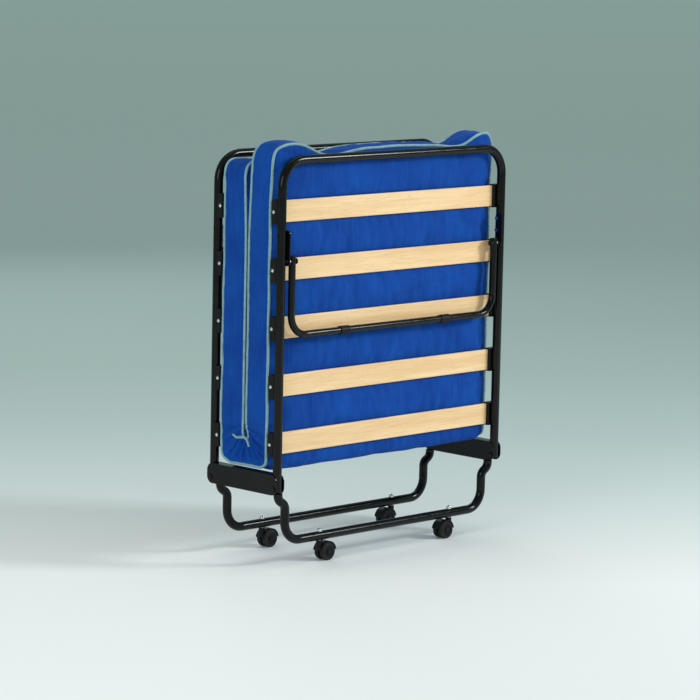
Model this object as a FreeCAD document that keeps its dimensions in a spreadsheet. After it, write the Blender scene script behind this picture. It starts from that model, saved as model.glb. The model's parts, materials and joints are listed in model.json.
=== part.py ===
"""Folding cot: two slatted tube halves that fold up around a centre piece on four twin-wheel casters.

The cot is modelled folded and upright, in millimetres. X runs along the slats, Y from the front half to
the rear half and Z up, with the origin on the floor under the middle of the cot.
"""
import FreeCAD, Part
import math
import os

import Sketcher

SIZES = {
    # overall
    "post_span": 870.0,
    "fold_depth": 250.0,
    "pivot_height": 222.0,
    "frame_rise": 890.0,
    # frame tubes
    "tube_size": 25.0,
    "tube_wall": 1.5,
    "frame_bend": 72.0,
    "tail_length": 9.0,
    # slats and their holders
    "slat_width": 60.0,
    "slat_thickness": 8.0,
    "slat_edge": 2.5,
    "slat_pitch": 158.0,
    "first_slat_rise": 120.0,
    "slat_stand_off": 3.5,
    "slat_seat": 17.0,
    "holder_wall": 3.0,
    "holder_face_wall": 3.5,
    "holder_overlap": 5.5,
    "holder_inner_reach": 16.0,
    "holder_rivet_size": 5.0,
    "rivet_head_size": 10.0,
    "rivet_head_height": 2.2,
    # end legs
    "end_leg_size": 20.0,
    "end_leg_wall": 1.2,
    "end_leg_inset": 34.0,
    "end_leg_set_out": 8.0,
    "end_leg_rise": 619.0,
    "end_leg_bend": 55.0,
    "end_leg_tip": 12.0,
    "foot_size": 24.0,
    "foot_length": 35.0,
    "foot_spacing": 400.0,
    "leg_stud_size": 10.0,
    "leg_plate_thickness": 3.0,
    "leg_plate_width": 24.0,
    "leg_plate_length": 96.0,
    "leg_cap_size": 17.0,
    "leg_cap_height": 5.0,
    "tip_flange": 2.0,
    # hinge brackets
    "bracket_plate": 2.5,
    "bracket_clearance": 0.5,
    "bracket_drop": 17.0,
    "bracket_overhang": 12.5,
    "bracket_corner": 20.0,
    "web_clearance": 24.5,
    "hinge_pin_size": 8.0,
    "pin_head_size": 17.0,
    "pin_head_height": 3.0,
    "neck_tab_width": 21.0,
    "neck_tab_length": 8.0,
    # centre legs
    "neck_inset": 14.25,
    "leg_inset": 41.0,
    "leg_set_in": 10.0,
    "neck_gap": 0.5,
    "neck_drop": 34.0,
    "neck_run": 18.0,
    "neck_bend": 22.0,
    "leg_bend": 55.0,
    "bar_over_wheel": 20.0,
    # casters
    "caster_spacing": 520.0,
    "caster_trail": 22.0,
    "wheel_size": 50.0,
    "wheel_width": 12.5,
    "wheel_edge": 2.5,
    "wheel_dish": 1.5,
    "wheel_dish_size": 32.0,
    "wheel_gap": 8.0,
    "wheel_clearance": 1.2,
    "web_thickness": 7.0,
    "hood_wall": 2.8,
    "boss_size": 18.0,
    "boss_gap": 1.0,
    "stem_size": 10.0,
    "stem_reach": 10.0,
    "stem_end_gap": 0.5,
    "axle_size": 6.0,
    "axle_head_size": 12.0,
    "axle_head_width": 1.5,
    "nut_size": 15.0,
    "nut_height": 4.5,
    "nut_wall": 1.2,
    # mattress
    "mattress_side_gap": 3.0,
    "mattress_holder_gap": 0.5,
    "mattress_split": 3.0,
    "mattress_corner": 14.0,
    "front_mattress_top": 918.0,
    "rear_mattress_top": 876.0,
    "fold_rise": 88.0,
    "fold_gap": 0.5,
    "fold_corner": 40.0,
    # fits
    "running_fit": 0.05,
    "soft_gap": 0.3,
}

SLATS_PER_HALF = 5


class Length:
    """A number together with the spreadsheet expression that gives it."""

    def __init__(self, value, text):
        self.value = value
        self.text = text

    @staticmethod
    def of(other):
        return other if isinstance(other, Length) else Length(float(other), f"{float(other):.6f}")

    def join(self, other, sign, value):
        return Length(value, f"({self.text} {sign} {other.text})")

    def __add__(self, other):
        other = Length.of(other)
        return self.join(other, "+", self.value + other.value)

    def __sub__(self, other):
        other = Length.of(other)
        return self.join(other, "-", self.value - other.value)

    def __mul__(self, factor):
        factor = Length.of(factor)
        return self.join(factor, "*", self.value * factor.value)

    def __truediv__(self, factor):
        factor = Length.of(factor)
        return self.join(factor, "/", self.value / factor.value)

    def __neg__(self):
        return self * -1.0


doc = FreeCAD.newDocument("FoldingCot")
sheet = doc.addObject("Spreadsheet::Sheet", "Sizes")
for row, (alias, number) in enumerate(SIZES.items(), start=1):
    sheet.set(f"A{row}", alias)
    sheet.set(f"B{row}", str(number))
    sheet.setAlias(f"B{row}", alias)
doc.recompute()

zero = Length.of(0.0)
kept = []


def size(alias):
    """The named size as a Length."""
    return Length(float(sheet.get(alias)), f"Sizes.{alias}")


def bind(item, **places):
    """Binds properties of an object to Lengths; x, y and z stand for its position."""
    for name, length in places.items():
        path = f".Placement.Base.{name}" if name in ("x", "y", "z") else name
        item.setExpression(path, Length.of(length).text)
    return item


def keep(item, label):
    """Marks an object as a finished sub-part under the label that names its file."""
    item.Label = label
    kept.append(item)
    return item


def box(low, high):
    """A Part::Box between two corners given as Lengths."""
    item = doc.addObject("Part::Box", "Box")
    (x0, y0, z0), (x1, y1, z1) = low, high
    bind(item, x=x0, y=y0, z=z0)
    bind(item, Length=Length.of(x1) - x0, Width=Length.of(y1) - y0, Height=Length.of(z1) - z0)
    return item


TURNS = {
    "Z": FreeCAD.Rotation(),
    "X": FreeCAD.Rotation(FreeCAD.Vector(0, 1, 0), 90),
    "-X": FreeCAD.Rotation(FreeCAD.Vector(0, 1, 0), -90),
    "Y": FreeCAD.Rotation(FreeCAD.Vector(1, 0, 0), -90),
}


def rod(axis, start, radius, length):
    """A Part::Cylinder that starts at a point and runs along an axis."""
    item = doc.addObject("Part::Cylinder", "Rod")
    item.Placement.Rotation = TURNS[axis]
    bind(item, x=start[0], y=start[1], z=start[2], Radius=radius, Height=length)
    return item


def dome(centre, radius, height_ratio):
    """A Part::Ellipsoid, round about Z and flattened along it."""
    item = doc.addObject("Part::Ellipsoid", "Dome")
    bind(item, x=centre[0], y=centre[1], z=centre[2])
    bind(item, Radius1=radius * height_ratio, Radius2=radius, Radius3=radius)
    return item


def cut(base, *tools):
    """The base with each tool taken away."""
    for tool in tools:
        item = doc.addObject("Part::Cut", "Cut")
        item.Base = base
        item.Tool = tool
        base = item
    return base


def fuse(*items):
    """The items joined into one solid."""
    item = doc.addObject("Part::MultiFuse", "Fuse")
    item.Shapes = list(items)
    return item


def common(base, tool):
    """What the two share."""
    item = doc.addObject("Part::Common", "Common")
    item.Base = base
    item.Tool = tool
    return item


def group(*items):
    """Separate solids that share one node."""
    item = doc.addObject("Part::Compound", "Group")
    item.Links = list(items)
    return item


def rounded(base, radius, wanted):
    """The base with a fillet on each edge that wanted(edge) picks."""
    doc.recompute()
    item = doc.addObject("Part::Fillet", "Rounded")
    item.Base = base
    item.Edges = [
        (number, radius.value, radius.value)
        for number, edge in enumerate(base.Shape.Edges, start=1)
        if wanted(edge)
    ]
    return item


def along(direction):
    """Picks straight edges that run along X, Y or Z."""
    vector = {"X": FreeCAD.Vector(1, 0, 0), "Y": FreeCAD.Vector(0, 1, 0), "Z": FreeCAD.Vector(0, 0, 1)}[direction]

    def wanted(edge):
        if not isinstance(edge.Curve, Part.Line):
            return False
        return abs(abs(edge.tangentAt(edge.FirstParameter).dot(vector)) - 1.0) < 1e-6

    return wanted


# Sketch helpers for the pieces made as PartDesign bodies.


def new_body(label):
    """A PartDesign body kept under a label."""
    return keep(doc.addObject("PartDesign::Body", "Body"), label)


def new_sketch(body, role, lift=zero):
    """A sketch on one of the body's own origin planes, lifted along the plane's normal."""
    sketch = body.newObject("Sketcher::SketchObject", "Sketch")
    plane = next(item for item in body.Origin.OriginFeatures if item.Role == role)
    sketch.AttachmentSupport = [(plane, "")]
    sketch.MapMode = "FlatFace"
    sketch.setExpression(".AttachmentOffset.Base.z", Length.of(lift).text)
    return sketch


def pin_point(sketch, geometry, place, across, up):
    """Holds a point of the sketch at two Lengths from the sketch's origin."""
    for kind, length in (("DistanceX", Length.of(across)), ("DistanceY", Length.of(up))):
        index = sketch.addConstraint(
            Sketcher.Constraint(kind, -1, 1, geometry, place, length.value)
        )
        sketch.setExpression(f"Constraints[{index}]", length.text)


def add_circle(sketch, across, up, radius):
    """A circle whose centre and radius are bound to Lengths."""
    centre = FreeCAD.Vector(Length.of(across).value, Length.of(up).value, 0)
    number = sketch.addGeometry(Part.Circle(centre, FreeCAD.Vector(0, 0, 1), radius.value), False)
    pin_point(sketch, number, 3, across, up)
    index = sketch.addConstraint(Sketcher.Constraint("Radius", number, radius.value))
    sketch.setExpression(f"Constraints[{index}]", radius.text)


def add_rectangle(sketch, low, high):
    """A rectangle whose corners are bound to Lengths."""
    (left, bottom), (right, top) = low, high
    corners = [(left, bottom), (right, bottom), (right, top), (left, top)]
    points = [FreeCAD.Vector(Length.of(a).value, Length.of(b).value, 0) for a, b in corners]
    first = sketch.GeometryCount
    for number in range(4):
        sketch.addGeometry(Part.LineSegment(points[number], points[(number + 1) % 4]), False)
    for number in range(4):
        following = first + (number + 1) % 4
        sketch.addConstraint(Sketcher.Constraint("Coincident", first + number, 2, following, 1))
        sketch.addConstraint(
            Sketcher.Constraint("Horizontal" if number % 2 == 0 else "Vertical", first + number)
        )
    pin_point(sketch, first, 1, left, bottom)
    pin_point(sketch, first + 2, 1, right, top)


def add_path(sketch, corners, radii):
    """Straight lines through the corners, with a tangent arc of its own radius at each inner corner."""
    points = [FreeCAD.Vector(across.value, up.value, 0) for across, up in corners]
    runs = [(end - start).normalize() for start, end in zip(points, points[1:])]
    trims = [0.0]
    for before, after, radius in zip(runs, runs[1:], radii):
        trims.append(radius.value * math.tan(before.getAngle(after) / 2.0))
    trims.append(0.0)
    guides, lines = [], []
    for (across, up), point in zip(corners, points):
        guide = sketch.addGeometry(Part.Point(point), True)
        pin_point(sketch, guide, 1, across, up)
        guides.append(guide)
    for number, run in enumerate(runs):
        start = points[number] + run * trims[number]
        end = points[number + 1] - run * trims[number + 1]
        line = sketch.addGeometry(Part.LineSegment(start, end), False)
        lines.append((line, start, end))
    for number, radius in enumerate(radii):
        (before, _, begin), (after, finish, _) = lines[number], lines[number + 1]
        turn = runs[number].x * runs[number + 1].y - runs[number].y * runs[number + 1].x
        side = 1.0 if turn > 0 else -1.0
        inward = FreeCAD.Vector(-runs[number].y * side, runs[number].x * side, 0)
        centre = begin + inward * radius.value
        first, last = (begin, finish) if turn > 0 else (finish, begin)
        angles = [math.atan2(point.y - centre.y, point.x - centre.x) for point in (first, last)]
        circle = Part.Circle(centre, FreeCAD.Vector(0, 0, 1), radius.value)
        arc = sketch.addGeometry(Part.ArcOfCircle(circle, *angles), False)
        begin_place, finish_place = (1, 2) if turn > 0 else (2, 1)
        sketch.addConstraint(Sketcher.Constraint("Tangent", before, 2, arc, begin_place))
        sketch.addConstraint(Sketcher.Constraint("Tangent", arc, finish_place, after, 1))
        index = sketch.addConstraint(Sketcher.Constraint("Radius", arc, radius.value))
        sketch.setExpression(f"Constraints[{index}]", radius.text)
    sketch.addConstraint(Sketcher.Constraint("Coincident", lines[0][0], 1, guides[0], 1))
    sketch.addConstraint(Sketcher.Constraint("Coincident", lines[-1][0], 2, guides[-1], 1))
    for number, (line, _, _) in enumerate(lines):
        if number > 0:
            sketch.addConstraint(Sketcher.Constraint("PointOnObject", guides[number], 1, line))
        if number < len(lines) - 1:
            sketch.addConstraint(Sketcher.Constraint("PointOnObject", guides[number + 1], 1, line))


def bent_tube(label, corners, radii, tube_radius, tube_wall, y):
    """A round tube along a path in an XZ plane, whose first and last runs are upright."""
    body = new_body(label)
    path = new_sketch(body, "XZ_Plane")
    add_path(path, corners, radii)
    profile = new_sketch(body, "XY_Plane", corners[0][1])
    add_circle(profile, corners[0][0], zero, tube_radius)
    add_circle(profile, corners[0][0], zero, tube_radius - tube_wall)
    doc.recompute()
    pipe = body.newObject("PartDesign::AdditivePipe", "Pipe")
    pipe.Profile = (profile, [""])
    pipe.Spine = (path, [f"Edge{number + 1}" for number in range(len(path.Shape.Edges))])
    bind(body, y=y)
    doc.recompute()
    return body


def pocket(body, sketch, length=None):
    """Cuts the sketch through the body both ways, or by a length on each side."""
    before = body.Shape.Volume
    item = body.newObject("PartDesign::Pocket", "Pocket")
    item.Profile = sketch
    item.Midplane = True
    if length is None:
        item.Type = "ThroughAll"
    else:
        item.setExpression("Length", (length * 2.0).text)
    doc.recompute()
    if not body.Shape.Volume < before:
        raise RuntimeError(f"{body.Label}: a pocket cuts nothing")
    return item


def pad(body, sketch, length, midplane=False):
    """Pads the sketch by a length."""
    item = body.newObject("PartDesign::Pad", "Pad")
    item.Profile = sketch
    item.Midplane = midplane
    item.setExpression("Length", length.text)
    doc.recompute()
    return item


# Lines that more than one piece is placed from.
post_x = size("post_span") / 2
tube_radius = size("tube_size") / 2
half_y = size("fold_depth") / 2
pivot_z = size("pivot_height")
running = size("running_fit")
slat_back = tube_radius + size("slat_stand_off")
slat_front = slat_back + size("slat_thickness")
holder_front = slat_front + size("holder_face_wall")
holder_outer = post_x + tube_radius
holder_inner = post_x - size("holder_inner_reach") - size("slat_seat") + tube_radius
slat_end = holder_inner + size("slat_seat")
plate_outer = post_x - tube_radius
plate_inner = plate_outer - size("leg_plate_thickness")
arm_x = post_x - size("end_leg_inset")
arm_radius = size("end_leg_size") / 2
arm_y = half_y + size("end_leg_set_out")
leg_pivot_z = pivot_z + size("end_leg_rise")
foot_radius = size("foot_size") / 2
# Opened out, the end leg stands on its feet from a pivot that is the set-out below the posts.
leg_bar_z = leg_pivot_z - (pivot_z - size("end_leg_set_out") - foot_radius)
# The bar of a centre leg runs clear over its wheels.
bar_z = size("wheel_size") + size("bar_over_wheel")


def slat_centre(number):
    """Height of a slat's middle, counted from the one nearest the fold."""
    return pivot_z + size("first_slat_rise") + size("slat_pitch") * float(number)


def out(side, depth):
    """The Y of something at a depth, on the front (-1) or the rear (1) half."""
    return depth * float(side)


def span(side, near, far):
    """Two depths as a low and a high Y on the given half."""
    return (-far, -near) if side < 0 else (near, far)


def make_frame(half, side):
    """The half's tube: two posts and a top bar in one bent piece, with a pivot hole in each post."""
    foot = pivot_z - size("tail_length")
    top = pivot_z + size("frame_rise")
    corners = [(-post_x, foot), (-post_x, top), (post_x, top), (post_x, foot)]
    bends = [size("frame_bend")] * 2
    body = bent_tube(f"{half}_frame", corners, bends, tube_radius, size("tube_wall"), out(side, half_y))
    holes = new_sketch(body, "YZ_Plane")
    add_circle(holes, zero, pivot_z, size("hinge_pin_size") / 2 + running)
    for height in rivet_heights():
        add_circle(holes, zero, height, size("holder_rivet_size") / 2)
    pocket(body, holes, post_x + tube_radius * 2.0)


def rivet_heights():
    """Heights of the two rivets that hold each end-leg plate to its post."""
    top = leg_pivot_z + size("leg_plate_length") - size("leg_plate_width") / 2
    return [top - size("leg_plate_width") * 0.6, top - size("leg_plate_width") * 2.0]


def make_slats(half, side):
    """Flat wooden slats with softened edges."""
    for number in range(SLATS_PER_HALF):
        middle = slat_centre(number)
        low_y, high_y = span(side, half_y - slat_front, half_y - slat_back)
        half_width = size("slat_width") / 2
        plank = box((-slat_end, low_y, middle - half_width), (slat_end, high_y, middle + half_width))
        keep(rounded(plank, size("slat_edge"), along("X")), f"{half}_slat_{number + 1}")


def make_holders(half, side):
    """Moulded holders, each round a slat's end and saddled on its post, and their rivets."""
    holders, rivets = [], []
    half_height = size("slat_width") / 2 + size("holder_wall")
    for number in range(SLATS_PER_HALF):
        middle = slat_centre(number)
        low_y, high_y = span(side, half_y - holder_front, half_y - tube_radius + size("holder_overlap"))
        slot_y = span(side, half_y - slat_front, half_y - slat_back)
        rivet_y = out(side, half_y - (slat_back + slat_front) / 2)
        for end in (-1, 1):
            outer, inner = holder_outer * float(end), holder_inner * float(end)
            tip = slat_end * float(end)
            left, right = (outer, inner) if end < 0 else (inner, outer)
            block = box((left, low_y, middle - half_height), (right, high_y, middle + half_height))
            block = rounded(block, size("slat_edge"), along("Z"))
            post = rod("Z", (post_x * float(end), out(side, half_y), middle - half_height * 1.5),
                       tube_radius, half_height * 3.0)
            slot_left, slot_right = (tip, inner * 0.9) if end < 0 else (inner * 0.9, tip)
            slot = box((slot_left, slot_y[0], middle - size("slat_width") / 2),
                       (slot_right, slot_y[1], middle + size("slat_width") / 2))
            axis = "-X" if end < 0 else "X"
            hole = rod(axis, (tip, rivet_y, middle), size("holder_rivet_size") / 2, half_height)
            holders.append(cut(block, post, slot, hole))
            shank = rod(axis, (tip, rivet_y, middle), size("holder_rivet_size") / 2,
                        holder_outer - slat_end)
            head = dome((outer, rivet_y, middle), size("rivet_head_size") / 2, 1.0)
            head.setExpression("Radius2", (size("rivet_head_size") / 2).text)
            head.Placement.Rotation = TURNS["X"]
            head.setExpression("Radius1", size("rivet_head_height").text)
            far = outer - size("rivet_head_height") * 2.0 if end < 0 else outer
            near = outer if end < 0 else outer + size("rivet_head_height") * 2.0
            reach = size("rivet_head_size")
            zone = box((far, rivet_y - reach, middle - reach), (near, rivet_y + reach, middle + reach))
            rivets.append(fuse(shank, common(head, zone)))
    keep(group(*holders), f"{half}_slat_holders")
    keep(group(*rivets), f"{half}_holder_rivets")


def make_leg_mount(half, side):
    """Plates riveted inside the posts, each with the stud that an arm of the end leg turns on."""
    plates, studs, caps, rivets = [], [], [], []
    half_width = size("leg_plate_width") / 2
    y = out(side, arm_y)
    stud_radius = size("leg_stud_size") / 2
    arm_face = arm_x - arm_radius - size("running_fit") * 6.0
    for end in (-1, 1):
        axis = "X" if end < 0 else "-X"
        outer, inner = plate_outer * float(end), plate_inner * float(end)
        left, right = (outer, inner) if end < 0 else (inner, outer)
        low = (left, y - half_width, leg_pivot_z - half_width)
        high = (right, y + half_width, leg_pivot_z - half_width + size("leg_plate_length"))
        plate = rounded(box(low, high), half_width * 0.8, along("X"))
        stud_hole = rod(axis, (outer, y, leg_pivot_z), stud_radius, size("leg_plate_thickness"))
        rivet_holes = [
            rod(axis, (outer, out(side, half_y), height), size("holder_rivet_size") / 2,
                size("leg_plate_thickness"))
            for height in rivet_heights()
        ]
        plates.append(cut(plate, stud_hole, *rivet_holes))
        studs.append(rod(axis, (outer, y, leg_pivot_z), stud_radius,
                         plate_outer - arm_face + size("leg_cap_height") / 2))
        cap = rod(axis, (arm_face * float(end), y, leg_pivot_z), size("leg_cap_size") / 2,
                  size("leg_cap_height"))
        cap = rounded(cap, size("leg_cap_height") / 3, is_inner_rim(arm_face.value))
        bore = rod(axis, (arm_face * float(end), y, leg_pivot_z), stud_radius,
                   size("leg_cap_height") / 2)
        caps.append(cut(cap, bore))
        for height in rivet_heights():
            place = (outer + size("tube_wall") * 2.0 * float(end), out(side, half_y), height)
            shank = rod(axis, place, size("holder_rivet_size") / 2,
                        size("leg_plate_thickness") + size("tube_wall") * 2.0)
            head = rod(axis, (inner, out(side, half_y), height), size("rivet_head_size") / 2,
                       size("rivet_head_height"))
            rivets.append(fuse(shank, head))
    keep(group(*plates), f"{half}_leg_plates")
    keep(group(*studs), f"{half}_leg_studs")
    keep(group(*caps), f"{half}_leg_caps")
    keep(group(*rivets), f"{half}_plate_rivets")


def is_inner_rim(face):
    """Picks the round edge of a cap that is nearest the middle of the cot."""

    def wanted(edge):
        if not isinstance(edge.Curve, Part.Circle):
            return False
        return abs(edge.CenterOfMass.x) < face - 0.5

    return wanted


def make_end_leg(half, side):
    """The end leg: a U of tube with two feet on its bar and a plug in the tip of each arm."""
    tip = leg_pivot_z + size("end_leg_tip")
    corners = [(-arm_x, tip), (-arm_x, leg_bar_z), (arm_x, leg_bar_z), (arm_x, tip)]
    bends = [size("end_leg_bend")] * 2
    y = out(side, arm_y)
    body = bent_tube(f"{half}_end_leg", corners, bends, arm_radius, size("end_leg_wall"), y)
    holes = new_sketch(body, "YZ_Plane")
    add_circle(holes, zero, leg_pivot_z, size("leg_stud_size") / 2 + running)
    pocket(body, holes)
    feet, plugs = [], []
    for end in (-1, 1):
        start = size("foot_spacing") / 2 * float(end) - size("foot_length") / 2
        sleeve = rod("X", (start, y, leg_bar_z), foot_radius, size("foot_length"))
        bore = rod("X", (start, y, leg_bar_z), arm_radius, size("foot_length"))
        feet.append(cut(sleeve, bore))
        flange = rod("Z", (arm_x * float(end), y, tip), arm_radius, size("tip_flange"))
        plugs.append(rounded(flange, size("tip_flange") * 0.6, above(tip.value + 0.5)))
    keep(group(*feet), f"{half}_leg_feet")
    keep(group(*plugs), f"{half}_leg_plugs")


def above(height):
    """Picks the edges higher than a height."""
    return lambda edge: edge.BoundBox.ZMin > height


def make_bracket(name, turned):
    """The folded channel at one side that both halves hinge in; the right one is the left turned round."""
    body = new_body(name)
    inner_width = size("tube_size") + size("bracket_clearance") * 2.0
    outer_width = inner_width + size("bracket_plate") * 2.0
    web_under = tube_radius + size("web_clearance")
    web_top = web_under + size("bracket_plate")
    reach = half_y + size("bracket_overhang")
    outline = new_sketch(body, "YZ_Plane")
    add_rectangle(outline, (-reach, -size("bracket_drop")), (reach, web_top))
    block = pad(body, outline, outer_width, midplane=True)
    corners = body.newObject("PartDesign::Fillet", "Corners")
    ends = [
        f"Edge{number}"
        for number, edge in enumerate(block.Shape.Edges, start=1)
        if along("X")(edge)
    ]
    corners.Base = (block, ends)
    corners.setExpression("Radius", size("bracket_corner").text)
    doc.recompute()
    channel = new_sketch(body, "XZ_Plane")
    add_rectangle(channel, (-inner_width / 2, -size("bracket_drop") * 2.0), (inner_width / 2, web_under))
    pocket(body, channel)
    web_end = half_y - tube_radius - size("bracket_clearance")
    open_ends = new_sketch(body, "XY_Plane")
    add_rectangle(open_ends, (-inner_width / 2, web_end), (inner_width / 2, reach * 2.0))
    add_rectangle(open_ends, (-inner_width / 2, -reach * 2.0), (inner_width / 2, -web_end))
    pocket(body, open_ends)
    tabs = new_sketch(body, "YZ_Plane", inner_width / 2)
    leg_y = half_y - size("leg_set_in")
    half_tab = size("neck_tab_width") / 2
    tab_end = -size("bracket_drop") - size("neck_tab_length")
    for middle in (leg_y, -leg_y):
        add_rectangle(tabs, (middle - half_tab, tab_end), (middle + half_tab, -size("bracket_drop") + 2.0))
    pad(body, tabs, size("bracket_plate"))
    holes = new_sketch(body, "YZ_Plane")
    for middle in (half_y, -half_y):
        add_circle(holes, middle, zero, size("hinge_pin_size") / 2)
    pocket(body, holes)
    if turned:
        body.Placement.Rotation = FreeCAD.Rotation(FreeCAD.Vector(0, 0, 1), 180)
    bind(body, x=post_x if turned else -post_x, z=pivot_z)


def make_hinge_pins():
    """The four pins that the posts turn on, headed outside each plate."""
    pins = []
    half_channel = tube_radius + size("bracket_clearance") + size("bracket_plate")
    for side in (-1, 1):
        for end in (-1, 1):
            middle = post_x * float(end)
            y = out(side, half_y)
            shank = rod("X", (middle - half_channel, y, pivot_z), size("hinge_pin_size") / 2,
                        half_channel * 2.0)
            left = rod("-X", (middle - half_channel, y, pivot_z), size("pin_head_size") / 2,
                       size("pin_head_height"))
            right = rod("X", (middle + half_channel, y, pivot_z), size("pin_head_size") / 2,
                        size("pin_head_height"))
            edge = size("pin_head_height") / 2
            left = rounded(left, edge, beyond(middle.value - half_channel.value - 0.5, -1))
            right = rounded(right, edge, beyond(middle.value + half_channel.value + 0.5, 1))
            pins.append(fuse(shank, left, right))
    keep(group(*pins), "hinge_pins")


def beyond(place, direction):
    """Picks the round edges past a place along X."""

    def wanted(edge):
        return isinstance(edge.Curve, Part.Circle) and (edge.CenterOfMass.x - place) * direction > 0

    return wanted


def make_centre_leg(name, side):
    """The U tube under the brackets, stepped inboard below its necks, with the caster holes in its bar."""
    neck_x = post_x - size("neck_inset")
    leg_x = post_x - size("leg_inset")
    neck_top = pivot_z - size("bracket_drop") + size("neck_gap")
    step_top = neck_top - size("neck_drop") / 2
    step_low = step_top - size("neck_run")
    left = [(-neck_x, neck_top), (-neck_x, step_top), (-leg_x, step_low), (-leg_x, bar_z)]
    right = [(-across, up) for across, up in reversed(left)]
    neck, bend = size("neck_bend"), size("leg_bend")
    radii = [neck, neck, bend, bend, neck, neck]
    y = out(side, half_y - size("leg_set_in"))
    body = bent_tube(name, left + right, radii, tube_radius, size("tube_wall"), y)
    stems = new_sketch(body, "XY_Plane", bar_z)
    for end in (-1, 1):
        add_circle(stems, size("caster_spacing") / 2 * float(end), zero, size("stem_size") / 2)
    pocket(body, stems, tube_radius * 1.5)
    slots = new_sketch(body, "XZ_Plane")
    plate_x = post_x - tube_radius - size("bracket_clearance")
    inner_plate_x = plate_x - size("bracket_plate")
    low, high = pivot_z - size("bracket_drop"), pivot_z
    add_rectangle(slots, (-plate_x, low), (-inner_plate_x, high))
    add_rectangle(slots, (inner_plate_x, low), (plate_x, high))
    pocket(body, slots)


def make_caster(number, across, side, direction):
    """One caster: the stem and nut stay in the bar, the housing swivels and the wheels roll."""
    y = out(side, half_y - size("leg_set_in"))
    under, over = bar_z - tube_radius, bar_z + tube_radius
    stem_low = under - size("stem_reach")
    stem_radius = size("stem_size") / 2
    nut_top = over + size("nut_height")
    stem = rod("Z", (across, y, stem_low), stem_radius, nut_top - stem_low)
    nut_radius = size("nut_size") / 2
    flange = rod("Z", (across, y, over), nut_radius, size("nut_height"))
    crown = dome((across, y, nut_top), nut_radius - size("nut_wall"), 0.8)
    lower = box((across - nut_radius, y - nut_radius, over - nut_radius * 2.0),
                (across + nut_radius, y + nut_radius, nut_top))
    bore = rod("Z", (across, y, over), stem_radius, size("nut_height"))
    saddle = rod("X", (across - nut_radius * 2.0, y, bar_z), tube_radius, nut_radius * 4.0)
    nut = cut(fuse(flange, cut(crown, lower)), bore, saddle)

    wheel_radius = size("wheel_size") / 2
    axle_x = across + size("caster_trail") * float(direction)
    hood_inner = wheel_radius + size("wheel_clearance")
    hood_outer = hood_inner + size("hood_wall")
    gap = size("wheel_gap") / 2
    far = gap + size("wheel_width")
    web_half = size("web_thickness") / 2
    hood = rod("Y", (axle_x, y - far, wheel_radius), hood_outer, far * 2.0)
    boss = rod("Z", (across, y, wheel_radius), size("boss_size") / 2,
               under - size("boss_gap") - wheel_radius)
    below = box((axle_x - hood_outer * 2.0, y - far * 2.0, zero - hood_outer),
                (axle_x + hood_outer * 2.0, y + far * 2.0, wheel_radius + size("wheel_clearance") * 3.0))
    near_pocket = rod("Y", (axle_x, y - far * 2.0, wheel_radius), hood_inner, far * 2.0 - web_half)
    far_pocket = rod("Y", (axle_x, y + web_half, wheel_radius), hood_inner, far * 2.0)
    hub = rod("Y", (axle_x, y - web_half, wheel_radius), size("axle_head_size"), web_half * 2.0)
    stem_bore = rod("Z", (across, y, stem_low - size("stem_end_gap")), stem_radius + running,
                    under - stem_low)
    axle_bore = rod("Y", (axle_x, y - far, wheel_radius), size("axle_size") / 2, far * 2.0)
    cover = cut(fuse(hood, boss), below, near_pocket, far_pocket)
    housing = cut(fuse(cover, hub), stem_bore, axle_bore)

    cap_gap = size("wheel_clearance") / 4
    axle = rod("Y", (axle_x, y - far - cap_gap, wheel_radius), size("axle_size") / 2,
               far * 2.0 + cap_gap * 2.0)
    heads = [
        rod("Y", (axle_x, y - far - cap_gap - size("axle_head_width"), wheel_radius),
            size("axle_head_size") / 2, size("axle_head_width")),
        rod("Y", (axle_x, y + far + cap_gap, wheel_radius), size("axle_head_size") / 2,
            size("axle_head_width")),
    ]
    wheels = []
    for turn in (-1, 1):
        start = y - far if turn < 0 else y + gap
        face = y - far if turn < 0 else y + far - size("wheel_dish")
        disc = rod("Y", (axle_x, start, wheel_radius), wheel_radius, size("wheel_width"))
        disc = rounded(disc, size("wheel_edge"), lambda edge: isinstance(edge.Curve, Part.Circle))
        dish = rod("Y", (axle_x, face, wheel_radius), size("wheel_dish_size") / 2, size("wheel_dish"))
        hole = rod("Y", (axle_x, start, wheel_radius), size("axle_size") / 2 + running,
                   size("wheel_width"))
        wheels.append(cut(disc, dish, hole))
    keep(housing, f"caster_{number}_housing")
    keep(fuse(axle, *heads), f"caster_{number}_axle")
    keep(group(*wheels), f"caster_{number}_wheels")
    return stem, nut


def make_casters():
    """Four casters, two on each centre leg, trailing inboard; their stems and nuts are two nodes."""
    stems, nuts = [], []
    places = [(side, end) for side in (-1, 1) for end in (-1, 1)]
    for number, (side, end) in enumerate(places, start=1):
        across = size("caster_spacing") / 2 * float(end)
        stem, nut = make_caster(number, across, side, -end)
        stems.append(stem)
        nuts.append(nut)
    keep(group(*stems), "caster_stems")
    keep(group(*nuts), "caster_nuts")


def make_mattress():
    """The folded mattress: a slab against each half's slats and the fold between them on the brackets."""
    half_width = post_x - size("mattress_side_gap")
    face = half_y - holder_front - size("mattress_holder_gap")
    middle = size("mattress_split") / 2
    start = pivot_z + size("fold_rise")
    for half, side, top in (("front", -1, "front_mattress_top"), ("rear", 1, "rear_mattress_top")):
        low_y, high_y = span(side, middle, face)
        slab = box((-half_width, low_y, start), (half_width, high_y, pivot_z + size(top)))
        keep(rounded(slab, size("mattress_corner"), along("Z")), f"mattress_{half}")
    web_top = pivot_z + tube_radius + size("web_clearance") + size("bracket_plate")
    low, high = web_top + size("soft_gap"), start - size("fold_gap")
    fold = box((-half_width, -face, low), (half_width, face, high))
    rim = low.value + 0.5
    lower = rounded(fold, size("fold_corner"), lambda e: along("X")(e) and e.BoundBox.ZMax < rim)
    keep(lower, "mattress_fold")


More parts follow.
